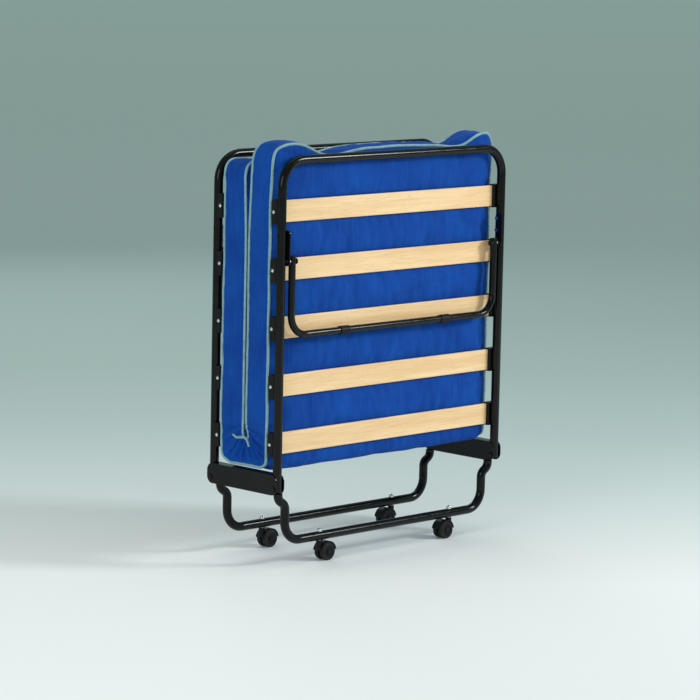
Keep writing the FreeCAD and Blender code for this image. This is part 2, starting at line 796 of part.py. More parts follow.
for half_name, half_side in (("front", -1), ("rear", 1)):
    make_frame(half_name, half_side)
    make_slats(half_name, half_side)
    make_holders(half_name, half_side)
    make_leg_mount(half_name, half_side)
    make_end_leg(half_name, half_side)
    make_centre_leg(f"{half_name}_centre_leg", half_side)
make_bracket("hinge_bracket_left", False)
make_bracket("hinge_bracket_right", True)
make_hinge_pins()
make_casters()
make_mattress()

doc.recompute()
failed = [item.Name for item in doc.Objects if "Invalid" in item.State or "Error" in item.State]
if failed:
    raise RuntimeError(f"failed objects: {failed}")
for sub_part in kept:
    if sub_part.Shape.isNull() or not sub_part.Shape.isValid():
        raise RuntimeError(f"{sub_part.Label} has no valid shape")

os.makedirs("parts", exist_ok=True)
for sub_part in kept:
    sub_part.Shape.exportStep(f"parts/{sub_part.Label}.step")
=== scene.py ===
"""Looks of the folding cot: finishes for its frame, its stuffed mattress, trim, floor, light and camera."""

from __future__ import annotations

import json
import logging
import math
from dataclasses import dataclass, field
from enum import Enum
from typing import Any, Callable, Iterable, Optional, Sequence

import bpy
import bmesh
import numpy as np
from mathutils import Matrix, Vector, noise

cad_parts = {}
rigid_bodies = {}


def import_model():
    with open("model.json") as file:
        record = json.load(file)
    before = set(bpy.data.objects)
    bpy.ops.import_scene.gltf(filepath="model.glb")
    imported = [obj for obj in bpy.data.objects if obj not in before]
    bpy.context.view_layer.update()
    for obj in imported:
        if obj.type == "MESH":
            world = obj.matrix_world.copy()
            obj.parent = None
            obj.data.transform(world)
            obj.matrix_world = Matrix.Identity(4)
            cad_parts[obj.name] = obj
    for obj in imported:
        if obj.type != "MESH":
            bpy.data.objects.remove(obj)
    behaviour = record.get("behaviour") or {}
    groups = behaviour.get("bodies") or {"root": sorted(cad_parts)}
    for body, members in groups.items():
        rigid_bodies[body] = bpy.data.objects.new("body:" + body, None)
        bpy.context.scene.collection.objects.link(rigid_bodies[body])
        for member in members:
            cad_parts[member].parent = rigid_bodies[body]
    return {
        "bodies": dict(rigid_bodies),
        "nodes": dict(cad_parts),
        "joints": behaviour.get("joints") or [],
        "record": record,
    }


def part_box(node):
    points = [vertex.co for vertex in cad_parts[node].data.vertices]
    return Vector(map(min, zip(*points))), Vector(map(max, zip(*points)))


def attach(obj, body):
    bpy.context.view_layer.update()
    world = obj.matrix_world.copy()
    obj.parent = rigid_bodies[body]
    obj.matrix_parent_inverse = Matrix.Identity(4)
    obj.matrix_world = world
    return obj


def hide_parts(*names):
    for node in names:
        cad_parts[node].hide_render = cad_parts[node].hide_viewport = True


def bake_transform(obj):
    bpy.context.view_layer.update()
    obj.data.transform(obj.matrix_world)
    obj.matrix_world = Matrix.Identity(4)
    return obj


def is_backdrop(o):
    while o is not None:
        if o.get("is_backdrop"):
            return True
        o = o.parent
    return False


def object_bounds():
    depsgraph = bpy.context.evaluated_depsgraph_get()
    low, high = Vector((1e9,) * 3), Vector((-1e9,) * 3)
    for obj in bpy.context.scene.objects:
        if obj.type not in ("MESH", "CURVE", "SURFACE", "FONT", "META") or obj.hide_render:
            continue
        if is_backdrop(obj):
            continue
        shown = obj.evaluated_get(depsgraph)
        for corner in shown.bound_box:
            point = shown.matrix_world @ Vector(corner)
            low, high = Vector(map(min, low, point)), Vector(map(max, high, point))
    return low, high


log = logging.getLogger("folding_cot")

Point = tuple[float, float, float]
Colour = tuple[float, float, float]


class Half(Enum):
    """The two halves of the cot, with the side of the fold that each stands on."""

    FRONT = -1
    REAR = 1

    @property
    def word(self) -> str:
        """The half's name, as the nodes spell it."""
        return self.name.lower()

    @property
    def body(self) -> str:
        """The body that the half's frame moves with."""
        return f"{self.word}_half"


class Slot(Enum):
    """The record's material slots."""

    BLACK_PAINT = "black_paint"
    SLAT_WOOD = "slat_wood"
    HOLDER_PLASTIC = "holder_plastic"
    FOOT_PLASTIC = "foot_plastic"
    CASTER_PLASTIC = "caster_plastic"
    WHEEL_PLASTIC = "wheel_plastic"
    BRIGHT_STEEL = "bright_steel"
    PLAIN_STEEL = "plain_steel"
    MATTRESS_TICKING = "mattress_ticking"


def smooth(value: np.ndarray) -> np.ndarray:
    """An S curve from 0 to 1 over the same range."""
    value = np.clip(value, 0.0, 1.0)
    return value * value * (3.0 - 2.0 * value)


def linear(red: int, green: int, blue: int) -> Colour:
    """Turns a screen colour of 0 to 255 into linear light."""

    def channel(value: int) -> float:
        share = value / 255.0
        return share / 12.92 if share <= 0.04045 else ((share + 0.055) / 1.055) ** 2.4

    return channel(red), channel(green), channel(blue)


class Shader:
    """A material's node tree with short ways to add and join nodes."""

    def __init__(self, name: str) -> None:
        """Starts an empty material with a Principled shader and an output.

        Args:
            name: the material's name.
        """
        self.material = bpy.data.materials.new(name)
        self.material.use_nodes = True
        self.tree = self.material.node_tree
        self.tree.nodes.clear()
        self.surface = self.node("ShaderNodeBsdfPrincipled")
        output = self.node("ShaderNodeOutputMaterial")
        self.join(self.surface.outputs["BSDF"], output.inputs["Surface"])
        self.place = self.node("ShaderNodeTexCoord").outputs["Object"]

    def node(self, kind: str, **settings: Any) -> Any:
        """Adds a node and sets its own settings.

        Args:
            kind: the node's type.
            settings: attributes to set on it.

        Returns:
            The node.
        """
        node = self.tree.nodes.new(kind)
        for key, value in settings.items():
            setattr(node, key, value)
        return node

    def join(self, source: Any, target: Any) -> None:
        """Links an output to an input."""
        self.tree.links.new(source, target)

    def stretched(self, vector: Any, scale: Point, turn: Point = (0.0, 0.0, 0.0)) -> Any:
        """Scales and turns a pattern's coordinates."""
        node = self.node("ShaderNodeMapping")
        node.inputs["Scale"].default_value = scale
        node.inputs["Rotation"].default_value = turn
        self.join(vector, node.inputs["Vector"])
        return node.outputs["Vector"]

    def cloud(self, vector: Any, scale: float, detail: float = 3.0, roughness: float = 0.5) -> Any:
        """Adds noise and returns its value."""
        node = self.node("ShaderNodeTexNoise")
        node.inputs["Scale"].default_value = scale
        node.inputs["Detail"].default_value = detail
        node.inputs["Roughness"].default_value = roughness
        self.join(vector, node.inputs["Vector"])
        return node.outputs["Fac"]

    def bands(self, vector: Any, scale: float, direction: str) -> Any:
        """Adds even bands across a direction and returns their value."""
        node = self.node("ShaderNodeTexWave", wave_type="BANDS", bands_direction=direction)
        node.inputs["Scale"].default_value = scale
        self.join(vector, node.inputs["Vector"])
        return node.outputs["Fac"]

    def ranged(self, value: Any, low: float, high: float, start: float = 0.3, end: float = 0.7) -> Any:
        """Maps a noise value from start..end to low..high."""
        node = self.node("ShaderNodeMapRange")
        node.inputs["From Min"].default_value = start
        node.inputs["From Max"].default_value = end
        node.inputs["To Min"].default_value = low
        node.inputs["To Max"].default_value = high
        self.join(value, node.inputs["Value"])
        return node.outputs["Result"]

    def mixed(self, share: Any, first: Any, second: Any) -> Any:
        """Mixes two colours, each a socket or a plain colour."""
        node = self.node("ShaderNodeMix", data_type="RGBA")
        self.join(share, node.inputs[0])
        for socket, colour in ((node.inputs[6], first), (node.inputs[7], second)):
            if isinstance(colour, tuple):
                socket.default_value = (*colour, 1.0)
            else:
                self.join(colour, socket)
        return node.outputs[2]

    def math(self, operation: str, first: Any, second: Any) -> Any:
        """Joins two values, each a socket or a number, by arithmetic."""
        node = self.node("ShaderNodeMath", operation=operation)
        for socket, value in ((node.inputs[0], first), (node.inputs[1], second)):
            if isinstance(value, (int, float)):
                socket.default_value = value
            else:
                self.join(value, socket)
        return node.outputs[0]

    def bump(self, height: Any, strength: float, distance: float, under: Any = None) -> Any:
        """Raises the surface by a height and returns the normal."""
        node = self.node("ShaderNodeBump")
        node.inputs["Strength"].default_value = strength
        node.inputs["Distance"].default_value = distance
        self.join(height, node.inputs["Height"])
        if under is not None:
            self.join(under, node.inputs["Normal"])
        return node.outputs["Normal"]

    def drive(self, socket: str, source: Any) -> None:
        """Links a value to one of the surface's sockets."""
        self.join(source, self.surface.inputs[socket])

    def fix(self, **values: Any) -> None:
        """Sets plain values on the surface; an underscore in a name stands for a space."""
        for key, value in values.items():
            self.surface.inputs[key.replace("_", " ")].default_value = value


@dataclass(frozen=True)
class Finish:
    """Something a piece can be finished in."""

    name: str

    def build(self) -> bpy.types.Material:
        """Makes the material."""
        raise NotImplementedError


@dataclass(frozen=True)
class GlossPaint(Finish):
    """Baked black enamel with a soft orange peel and faint handling marks."""

    colour: Colour = (0.002, 0.0026, 0.0025)
    dusty: Colour = (0.005, 0.006, 0.006)
    low_gloss: float = 0.20
    high_gloss: float = 0.09

    def build(self) -> bpy.types.Material:
        """Makes the enamel."""
        shader = Shader(self.name)
        marks = shader.cloud(shader.place, 14.0, 5.0, 0.6)
        shader.drive("Base Color", shader.mixed(shader.ranged(marks, 0.0, 1.0, 0.4, 0.75), self.colour, self.dusty))
        rub = shader.cloud(shader.stretched(shader.place, (40.0, 40.0, 6.0)), 1.0, 4.0, 0.6)
        shader.drive("Roughness", shader.ranged(rub, self.high_gloss, self.low_gloss))
        peel = shader.cloud(shader.place, 420.0, 2.0, 0.4)
        shader.drive("Normal", shader.bump(peel, 0.12, 0.0004))
        shader.fix(Specular_IOR_Level=0.2, Coat_Weight=0.03, Coat_Roughness=0.08)
        return shader.material


@dataclass(frozen=True)
class Timber(Finish):
    """Pale lacquered beech laminate with its grain along the slats."""

    pale: Colour = linear(247, 214, 164)
    warm: Colour = linear(234, 194, 140)
    fleck: Colour = linear(200, 154, 102)

    def build(self) -> bpy.types.Material:
        """Makes the wood."""
        shader = Shader(self.name)
        broad = shader.cloud(shader.stretched(shader.place, (2.2, 30.0, 34.0)), 1.0, 4.0, 0.55)
        body = shader.mixed(shader.ranged(broad, 0.0, 1.0, 0.35, 0.68), self.pale, self.warm)
        fine = shader.cloud(shader.stretched(shader.place, (9.0, 240.0, 300.0)), 1.0, 3.0, 0.6)
        grained = shader.mixed(shader.ranged(fine, 0.0, 0.45, 0.45, 0.8), body, self.fleck)
        rays = shader.cloud(shader.stretched(shader.place, (60.0, 500.0, 420.0)), 1.0, 1.0, 0.5)
        flecked = shader.mixed(shader.ranged(rays, 0.0, 0.5, 0.66, 0.8), grained, self.fleck)
        shader.drive("Base Color", flecked)
        shader.drive("Roughness", shader.ranged(fine, 0.34, 0.5))
        shader.drive("Normal", shader.bump(fine, 0.25, 0.0006))
        shader.fix(Coat_Weight=0.12, Coat_Roughness=0.25)
        return shader.material


@dataclass(frozen=True)
class Moulded(Finish):
    """Black moulded plastic with a spark-eroded grain and dust in random patches."""

    colour: Colour = (0.004, 0.0045, 0.0045)
    dust: Colour = (0.009, 0.010, 0.010)
    smoothest: float = 0.38
    roughest: float = 0.55
    grain: float = 900.0
    depth: float = 0.0002

    def build(self) -> bpy.types.Material:
        """Makes the plastic."""
        shader = Shader(self.name)
        drift = shader.cloud(shader.place, 30.0, 4.0, 0.6)
        shader.drive("Base Color", shader.mixed(shader.ranged(drift, 0.0, 0.8, 0.45, 0.75), self.colour, self.dust))
        shader.drive("Roughness", shader.ranged(drift, self.smoothest, self.roughest))
        pebble = shader.cloud(shader.place, self.grain, 2.0, 0.5)
        shader.drive("Normal", shader.bump(pebble, 0.3, self.depth))
        shader.fix(Specular_IOR_Level=0.2)
        return shader.material


@dataclass(frozen=True)
class Plated(Finish):
    """Zinc plate, bright or dull, with fine lines from its making."""

    colour: Colour = (0.78, 0.78, 0.79)
    stained: Colour = (0.55, 0.54, 0.52)
    smoothest: float = 0.12
    roughest: float = 0.3
    lines: Point = (900.0, 60.0, 60.0)

    def build(self) -> bpy.types.Material:
        """Makes the metal."""
        shader = Shader(self.name)
        stain = shader.cloud(shader.place, 220.0, 3.0, 0.6)
        shader.drive("Base Color", shader.mixed(shader.ranged(stain, 0.0, 0.7, 0.4, 0.8), self.colour, self.stained))
        shader.drive("Roughness", shader.ranged(stain, self.smoothest, self.roughest))
        turned = shader.cloud(shader.stretched(shader.place, self.lines), 1.0, 2.0, 0.5)
        shader.drive("Normal", shader.bump(turned, 0.15, 0.0001))
        shader.fix(Metallic=1.0)
        return shader.material


@dataclass(frozen=True)
class Ticking(Finish):
    """Royal blue mattress cloth: a twill weave with soft streaks along the bed, which are painted light and shade."""

    # deep is the blue as it looks in shade and royal the blue as it looks in light, a shaded and a lit copy of the
    # cloth; they are mixed in random patches.
    deep: Colour = linear(4, 56, 140)
    royal: Colour = linear(8, 76, 166)
    worn: Colour = linear(22, 98, 186)
    pitch: float = 0.0016

    def build(self) -> bpy.types.Material:
        """Makes the cloth; it follows the piece's UV map, which is in metres."""
        shader = Shader(self.name)
        flat = shader.node("ShaderNodeUVMap", uv_map="cloth").outputs["UV"]
        # Painted light and shade: the lighter streaks along the bed paint soft light on the cloth's bulges, and the
        # darker cross marks paint soft shade in its wrinkles.
        streak = shader.cloud(shader.stretched(flat, (150.0, 7.0, 1.0)), 1.0, 4.0, 0.65)
        cross = shader.cloud(shader.stretched(flat, (16.0, 90.0, 1.0)), 1.0, 3.0, 0.6)
        patch = shader.cloud(shader.place, 9.0, 3.0, 0.55)
        base = shader.mixed(shader.ranged(patch, 0.0, 1.0, 0.3, 0.7), self.deep, self.royal)
        streaked = shader.mixed(shader.ranged(streak, 0.0, 0.45, 0.46, 0.82), base, self.worn)
        crossed = shader.mixed(shader.ranged(cross, 0.0, 0.35, 0.5, 0.85), streaked, self.deep)
        twill = shader.bands(shader.stretched(flat, (1.0, 1.0, 1.0), (0.0, 0.0, 0.9)), 0.314 / self.pitch, "X")
        weft = shader.bands(flat, 0.314 / self.pitch, "Y")
        weave = shader.math("MULTIPLY", twill, weft)
        shader.drive("Base Color", shader.mixed(shader.ranged(weave, 0.22, 0.0, 0.0, 0.6), crossed, self.deep))
        yarn = shader.bump(weave, 0.35, 0.0004)
        slub = shader.math("ADD", streak, cross)
        shader.drive("Normal", shader.bump(slub, 0.3, 0.0014, yarn))
        shader.fix(Roughness=0.86, Sheen_Weight=0.05, Sheen_Roughness=0.5, Specular_IOR_Level=0.15)
        shader.surface.inputs["Sheen Tint"].default_value = (0.2, 0.5, 0.9, 1.0)
        return shader.material


@dataclass(frozen=True)
class Braid(Finish):
    """Grey-green bias binding over a cord, or thread, with a slanting twist."""

    # colour is the binding as it looks in light and shade is the binding as it looks in shade: a lit and a shaded
    # copy of it.
    colour: Colour = linear(140, 180, 187)
    shade: Colour = linear(100, 142, 152)
    twist: float = 260.0

    def build(self) -> bpy.types.Material:
        """Makes the binding."""
        shader = Shader(self.name)
        twist = shader.bands(shader.place, self.twist, "DIAGONAL")
        # Random patches and the grooves of the twist are darkened towards the shade tone: painted shade.
        dark_patches = shader.cloud(shader.place, 45.0, 4.0, 0.6)
        base = shader.mixed(shader.ranged(dark_patches, 0.0, 0.8, 0.35, 0.75), self.colour, self.shade)
        shader.drive("Base Color", shader.mixed(shader.ranged(twist, 0.25, 0.0, 0.0, 0.8), base, self.shade))
        shader.drive("Normal", shader.bump(twist, 0.3, 0.0003))
        shader.fix(Roughness=0.8, Sheen_Weight=0.15, Sheen_Roughness=0.4)
        return shader.material


@dataclass
class Paintbox:
    """Makes each finish once and hands out its material."""

    made: dict[str, bpy.types.Material] = field(default_factory=dict)

    def get(self, finish: Finish) -> bpy.types.Material:
        """The finish's material."""
        if finish.name not in self.made:
            self.made[finish.name] = finish.build()
        return self.made[finish.name]


SLOT_FINISH: dict[Slot, Finish] = {
    Slot.BLACK_PAINT: GlossPaint("black_enamel"),
    Slot.SLAT_WOOD: Timber("lacquered_beech"),
    Slot.HOLDER_PLASTIC: Moulded("holder_black"),
    Slot.FOOT_PLASTIC: Moulded("foot_black", smoothest=0.45, roughest=0.62),
    Slot.CASTER_PLASTIC: Moulded("caster_black", smoothest=0.28, roughest=0.42),
    Slot.WHEEL_PLASTIC: Moulded("wheel_black", (0.010, 0.010, 0.011), (0.030, 0.030, 0.029), 0.5, 0.7, 600.0),
    Slot.BRIGHT_STEEL: Plated("bright_zinc"),
    Slot.PLAIN_STEEL: Plated("dull_zinc", (0.5, 0.5, 0.51), (0.36, 0.35, 0.34), 0.25, 0.45),
    Slot.MATTRESS_TICKING: Ticking("blue_ticking"),
}


class Recipe:
    """A Geometry Nodes tree with named inputs, and a way to make a plain mesh from it."""

    def __init__(self, name: str, takes_geometry: bool = False) -> None:
        """Starts the tree.

        Args:
            name: the tree's name.
            takes_geometry: whether the tree works on the object's own mesh.
        """
        self.tree = bpy.data.node_groups.new(name, "GeometryNodeTree")
        self.ids: dict[str, str] = {}
        if takes_geometry:
            self.tree.interface.new_socket("Geometry", in_out="INPUT", socket_type="NodeSocketGeometry")
        self.tree.interface.new_socket("Geometry", in_out="OUTPUT", socket_type="NodeSocketGeometry")
        self.start = self.tree.nodes.new("NodeGroupInput")
        self.end = self.tree.nodes.new("NodeGroupOutput")

    def takes(self, name: str, kind: str = "Float") -> Any:
        """Adds a named input and returns its socket inside the tree."""
        item = self.tree.interface.new_socket(name, in_out="INPUT", socket_type=f"NodeSocket{kind}")
        self.ids[name] = item.identifier
        return self.start.outputs[name]

    def node(self, kind: str, links: Optional[dict[Any, Any]] = None, **settings: Any) -> Any:
        """Adds a node.

        Args:
            kind: the node's type after GeometryNode, or its whole type.
            links: input names or numbers, each with a socket to link or a value to set.
            settings: attributes to set on the node.

        Returns:
            The node.
        """
        full = kind if kind.startswith(("ShaderNode", "FunctionNode")) else f"GeometryNode{kind}"
        node = self.tree.nodes.new(full)
        for key, value in settings.items():
            setattr(node, key, value)
        for key, value in (links or {}).items():
            if isinstance(value, bpy.types.NodeSocket):
                self.tree.links.new(value, node.inputs[key])
            else:
                node.inputs[key].default_value = value
        return node

    def vector(self, x: Any = 0.0, y: Any = 0.0, z: Any = 0.0) -> Any:
        """A vector from three sockets or numbers."""
        return self.node("ShaderNodeCombineXYZ", {"X": x, "Y": y, "Z": z}).outputs[0]

    def times(self, value: Any, factor: Any) -> Any:
        """A value times another."""
        return self.node("ShaderNodeMath", {0: value, 1: factor}, operation="MULTIPLY").outputs[0]

    def joined(self, *parts: Any) -> Any:
        """Several geometries as one."""
        node = self.node("JoinGeometry")
        for part in parts:
            self.tree.links.new(part, node.inputs[0])
        return node.outputs[0]

    def close(self, geometry: Any, material: Any) -> None:
        """Realizes the instances, smooths them, sets their material and ends the tree."""
        real = self.node("RealizeInstances", {0: geometry}).outputs[0]
        soft = self.node("SetShadeSmooth", {0: real}).outputs[0]
        painted = self.node("SetMaterial", {"Geometry": soft, "Material": material}).outputs[0]
        self.tree.links.new(painted, self.end.inputs[0])

    def make(self, name: str, values: dict[str, Any], mesh: Optional[bpy.types.Mesh] = None) -> bpy.types.Object:
        """Runs the tree once and keeps the result as a plain mesh.

        Args:
            name: the new piece's name.
            values: a value for each named input.
            mesh: the mesh that the tree works on, if it takes one.

        Returns:
            The new object, with no modifier left on it.
        """
        base = mesh or bpy.data.meshes.new(f"{name}_base")
        holder = bpy.data.objects.new(f"{name}_holder", base)
        bpy.context.scene.collection.objects.link(holder)
        modifier = holder.modifiers.new("recipe", "NODES")
        modifier.node_group = self.tree
        for key, value in values.items():
            modifier[self.ids[key]] = value
        graph = bpy.context.evaluated_depsgraph_get()
        result = bpy.data.meshes.new_from_object(holder.evaluated_get(graph), depsgraph=graph)
        bpy.data.objects.remove(holder)
        result.name = name
        piece = bpy.data.objects.new(name, result)
        bpy.context.scene.collection.objects.link(piece)
        return piece


def hand_over(piece: bpy.types.Object, body: Optional[str] = None, stands_for: Sequence[str] = ()) -> None:
    """Args:
        piece: the piece.
        body: the body it rides on, or None for one that is left unattached.
        stands_for: CAD nodes that it replaces.
    """
    if body is not None:
        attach(piece, body)
    if stands_for:
        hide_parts(*stands_for)
    faces = len(piece.data.polygons)
    log.info("%s: %d faces, %s", piece.name, faces, body or "bends with the fold")


@dataclass
class Studio:
    """Pale floor, soft lamps and the camera."""

    camera_place: Point = (-6.3677, -6.2720, 1.8168)
    camera_yaw: float = 45.257
    camera_pitch: float = 8.067
    camera_roll: float = 1.211
    lens: float = 164.9
    floor_half: float = 90.0
    horizon: Colour = linear(134, 160, 156)
    # Floor colours at distances along the view, in metres: pale near the cot where the lamps light it most, deepest
    # near 5 m and raised again farther off where the lamps no longer reach; painted light and shade.
    floor_tones: tuple[tuple[float, int, int, int], ...] = (
        (-0.5, 242, 247, 246), (0.8, 206, 220, 219), (1.9, 184, 203, 202), (3.3, 170, 192, 188),
        (5.0, 166, 189, 186), (11.0, 176, 199, 195), (40.0, 180, 207, 201))
    floor_start: float = -2.5
    floor_end: float = 40.0

    def build(self) -> None:
        """Makes the floor, the world, the lamps and the camera."""
        self.lay_floor()
        self.light_world()
        self.hang_lamps()
        self.place_camera()

    def lay_floor(self) -> None:
        """Makes a wide plain floor that is pale near the cot and deepens to grey-green in the distance; its colour
        paints the fall of light across the floor.
        """
        mesh = bpy.data.meshes.new("studio_floor")
        reach = self.floor_half
        corners = [(-reach, -reach, 0.0), (reach, -reach, 0.0), (reach, reach, 0.0), (-reach, reach, 0.0)]
        mesh.from_pydata(corners, [], [(0, 1, 2, 3)])
        floor = bpy.data.objects.new("studio_floor", mesh)
        bpy.context.scene.collection.objects.link(floor)
        shader = Shader("studio_floor")
        yaw = math.radians(self.camera_yaw)
        along = shader.node("ShaderNodeVectorMath", operation="DOT_PRODUCT")
        along.inputs[1].default_value = (math.sin(yaw), math.cos(yaw), 0.0)
        shader.join(shader.place, along.inputs[0])
        ramp = shader.node("ShaderNodeValToRGB")
        elements = ramp.color_ramp.elements
        while len(elements) < len(self.floor_tones):
            elements.new(0.5)
        for element, (metres, red, green, blue) in zip(elements, self.floor_tones):
            element.position = (metres - self.floor_start) / (self.floor_end - self.floor_start)
            element.color = (*linear(red, green, blue), 1.0)
        share = shader.ranged(along.outputs["Value"], 0.0, 1.0, self.floor_start, self.floor_end)
        shader.join(share, ramp.inputs["Fac"])
        shader.drive("Base Color", ramp.outputs["Color"])
        shader.fix(Roughness=0.7, Specular_IOR_Level=0.2)
        mesh.materials.append(shader.material)
        floor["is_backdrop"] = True

    def light_world(self) -> None:
        """Sets an even grey sky, a little greener where the camera sees it."""
        world = bpy.data.worlds.new("studio")
        bpy.context.scene.world = world
        world.use_nodes = True
        tree = world.node_tree
        tree.nodes.clear()
        path = tree.nodes.new("ShaderNodeLightPath")
        glow = tree.nodes.new("ShaderNodeBackground")
        glow.inputs["Color"].default_value = (0.94, 1.0, 0.985, 1.0)
        glow.inputs["Strength"].default_value = 0.55
        seen = tree.nodes.new("ShaderNodeBackground")
        seen.inputs["Color"].default_value = (*self.horizon, 1.0)
        mix = tree.nodes.new("ShaderNodeMixShader")
        output = tree.nodes.new("ShaderNodeOutputWorld")
        shown = path.outputs["Is Camera Ray"]
        for kind in ("Is Glossy Ray", "Is Transmission Ray"):
            either = tree.nodes.new("ShaderNodeMath")
            either.operation = "MAXIMUM"
            tree.links.new(shown, either.inputs[0])
            tree.links.new(path.outputs[kind], either.inputs[1])
            shown = either.outputs[0]
        tree.links.new(shown, mix.inputs[0])
        tree.links.new(glow.outputs[0], mix.inputs[1])
        tree.links.new(seen.outputs[0], mix.inputs[2])
        tree.links.new(mix.outputs[0], output.inputs["Surface"])

    def hang_lamps(self) -> None:
        """Hangs a key lamp to the right, a fill to the left, one overhead and one behind."""
        self.lamp("key", (4.2, -4.6, 3.6), (0.0, 0.0, 0.6), 1.5, 250.0)
        self.lamp("fill", (-5.2, -1.5, 2.6), (0.0, 0.0, 0.6), 2.4, 70.0)
        self.lamp("over", (0.5, 0.5, 4.6), (0.0, 0.0, 0.4), 3.2, 14.0)
        self.lamp("back", (3.0, 5.5, 3.2), (0.0, 0.0, 0.6), 2.4, 40.0)

    def lamp(self, name: str, place: Point, target: Point, size: float, power: float) -> None:
        """Hangs a square soft lamp that faces a target.

        Args:
            name: the lamp's name.
            place: where it hangs.
            target: what it faces.
            size: its side in metres.
            power: its power in watts.
        """
        data = bpy.data.lights.new(name, "AREA")
        data.shape = "SQUARE"
        data.size = size
        data.energy = power
        lamp = bpy.data.objects.new(name, data)
        lamp.location = place
        lamp.rotation_euler = (Vector(target) - Vector(place)).to_track_quat("-Z", "Y").to_euler()
        bpy.context.scene.collection.objects.link(lamp)

    def place_camera(self) -> None:
        """Sets the camera from its yaw, pitch and roll."""
        yaw, pitch, roll = (math.radians(a) for a in (self.camera_yaw, self.camera_pitch, self.camera_roll))
        ahead = Vector((math.sin(yaw) * math.cos(pitch), math.cos(yaw) * math.cos(pitch), -math.sin(pitch)))
        right = Vector((math.cos(yaw), -math.sin(yaw), 0.0))
        up = right.cross(ahead)
        across = right * math.cos(roll) + up * math.sin(roll)
        upward = up * math.cos(roll) - right * math.sin(roll)
        frame = Matrix((across, upward, -ahead)).transposed().to_4x4()
        frame.translation = Vector(self.camera_place)
        data = bpy.data.cameras.new("camera")
        data.lens = self.lens
        data.sensor_width = 36.0
        data.clip_end = 500.0
        camera = bpy.data.objects.new("camera", data)
        camera.matrix_world = frame
        bpy.context.scene.collection.objects.link(camera)
        bpy.context.scene.camera = camera


@dataclass
class Metalwork:
    """The CAD nodes whose shape is kept, and the finish that each takes."""

    nodes: dict[str, bpy.types.Object]
    slots: dict[str, Slot]
    paints: Paintbox

    def dress(self) -> None:
        """Gives every CAD node the material of its slot."""
        for name, node in sorted(self.nodes.items()):
            material = self.paints.get(SLOT_FINISH[self.slots[name]])
            node.data.materials.clear()
            node.data.materials.append(material)
            log.info("%s: %s", name, material.name)


@dataclass
class HolderRivets:
    """Domed rivets on the outer sides of the slat holders, one piece for each half."""

    paints: Paintbox
    rows: int = 5
    first_height: float = 0.342
    pitch: float = 0.158
    across: float = 0.4475
    depth: float = 0.105
    head_radius: float = 0.005
    head_height: float = 0.0022

    def recipe(self) -> Recipe:
        """Makes the tree: a flanged dome on each point of two upright rows."""
        recipe = Recipe("holder_rivets")
        rows = recipe.takes("Rows", "Int")
        first = recipe.takes("First Height")
        pitch = recipe.takes("Pitch")
        across = recipe.takes("Across")
        depth = recipe.takes("Depth")
        radius = recipe.takes("Head Radius")
        height = recipe.takes("Head Height")
        material = recipe.takes("Material", "Material")
        ball = recipe.node("MeshUVSphere", {"Segments": 20, "Rings": 12, "Radius": 1.0}).outputs[0]
        rise = recipe.times(height, 0.75)
        core = recipe.times(radius, 0.86)
        dome = recipe.node("Transform", {"Geometry": ball, "Scale": recipe.vector(core, core, rise)})
        lift = recipe.times(height, 0.22)
        raised = recipe.node("Transform", {"Geometry": dome.outputs[0], "Translation": recipe.vector(0.0, 0.0, lift)})
        plate = recipe.node("MeshCylinder", {"Vertices": 24, "Radius": radius, "Depth": recipe.times(height, 0.5)})
        head = recipe.joined(raised.outputs[0], plate.outputs[0])
        rows_made = []
        for side in (-1.0, 1.0):
            begin = recipe.vector(recipe.times(across, side), depth, first)
            line = recipe.node("MeshLine", {"Count": rows, "Start Location": begin,
                                            "Offset": recipe.vector(0.0, 0.0, pitch)}, mode="OFFSET")
            turn = recipe.vector(0.0, side * math.pi / 2.0, 0.0)
            placed = recipe.node("InstanceOnPoints", {"Points": line.outputs[0], "Instance": head, "Rotation": turn})
            rows_made.append(placed.outputs[0])
        recipe.close(recipe.joined(*rows_made), material)
        return recipe

    def build(self) -> None:
        """Makes the rivets of both halves."""
        recipe = self.recipe()
        for half in Half:
            piece = recipe.make(f"{half.word}_rivet_heads", {
                "Rows": self.rows, "First Height": self.first_height, "Pitch": self.pitch,
                "Across": self.across, "Depth": self.depth * half.value, "Head Radius": self.head_radius,
                "Head Height": self.head_height, "Material": self.paints.get(SLOT_FINISH[Slot.BRIGHT_STEEL])})
            hand_over(piece, half.body, [f"{half.word}_holder_rivets"])


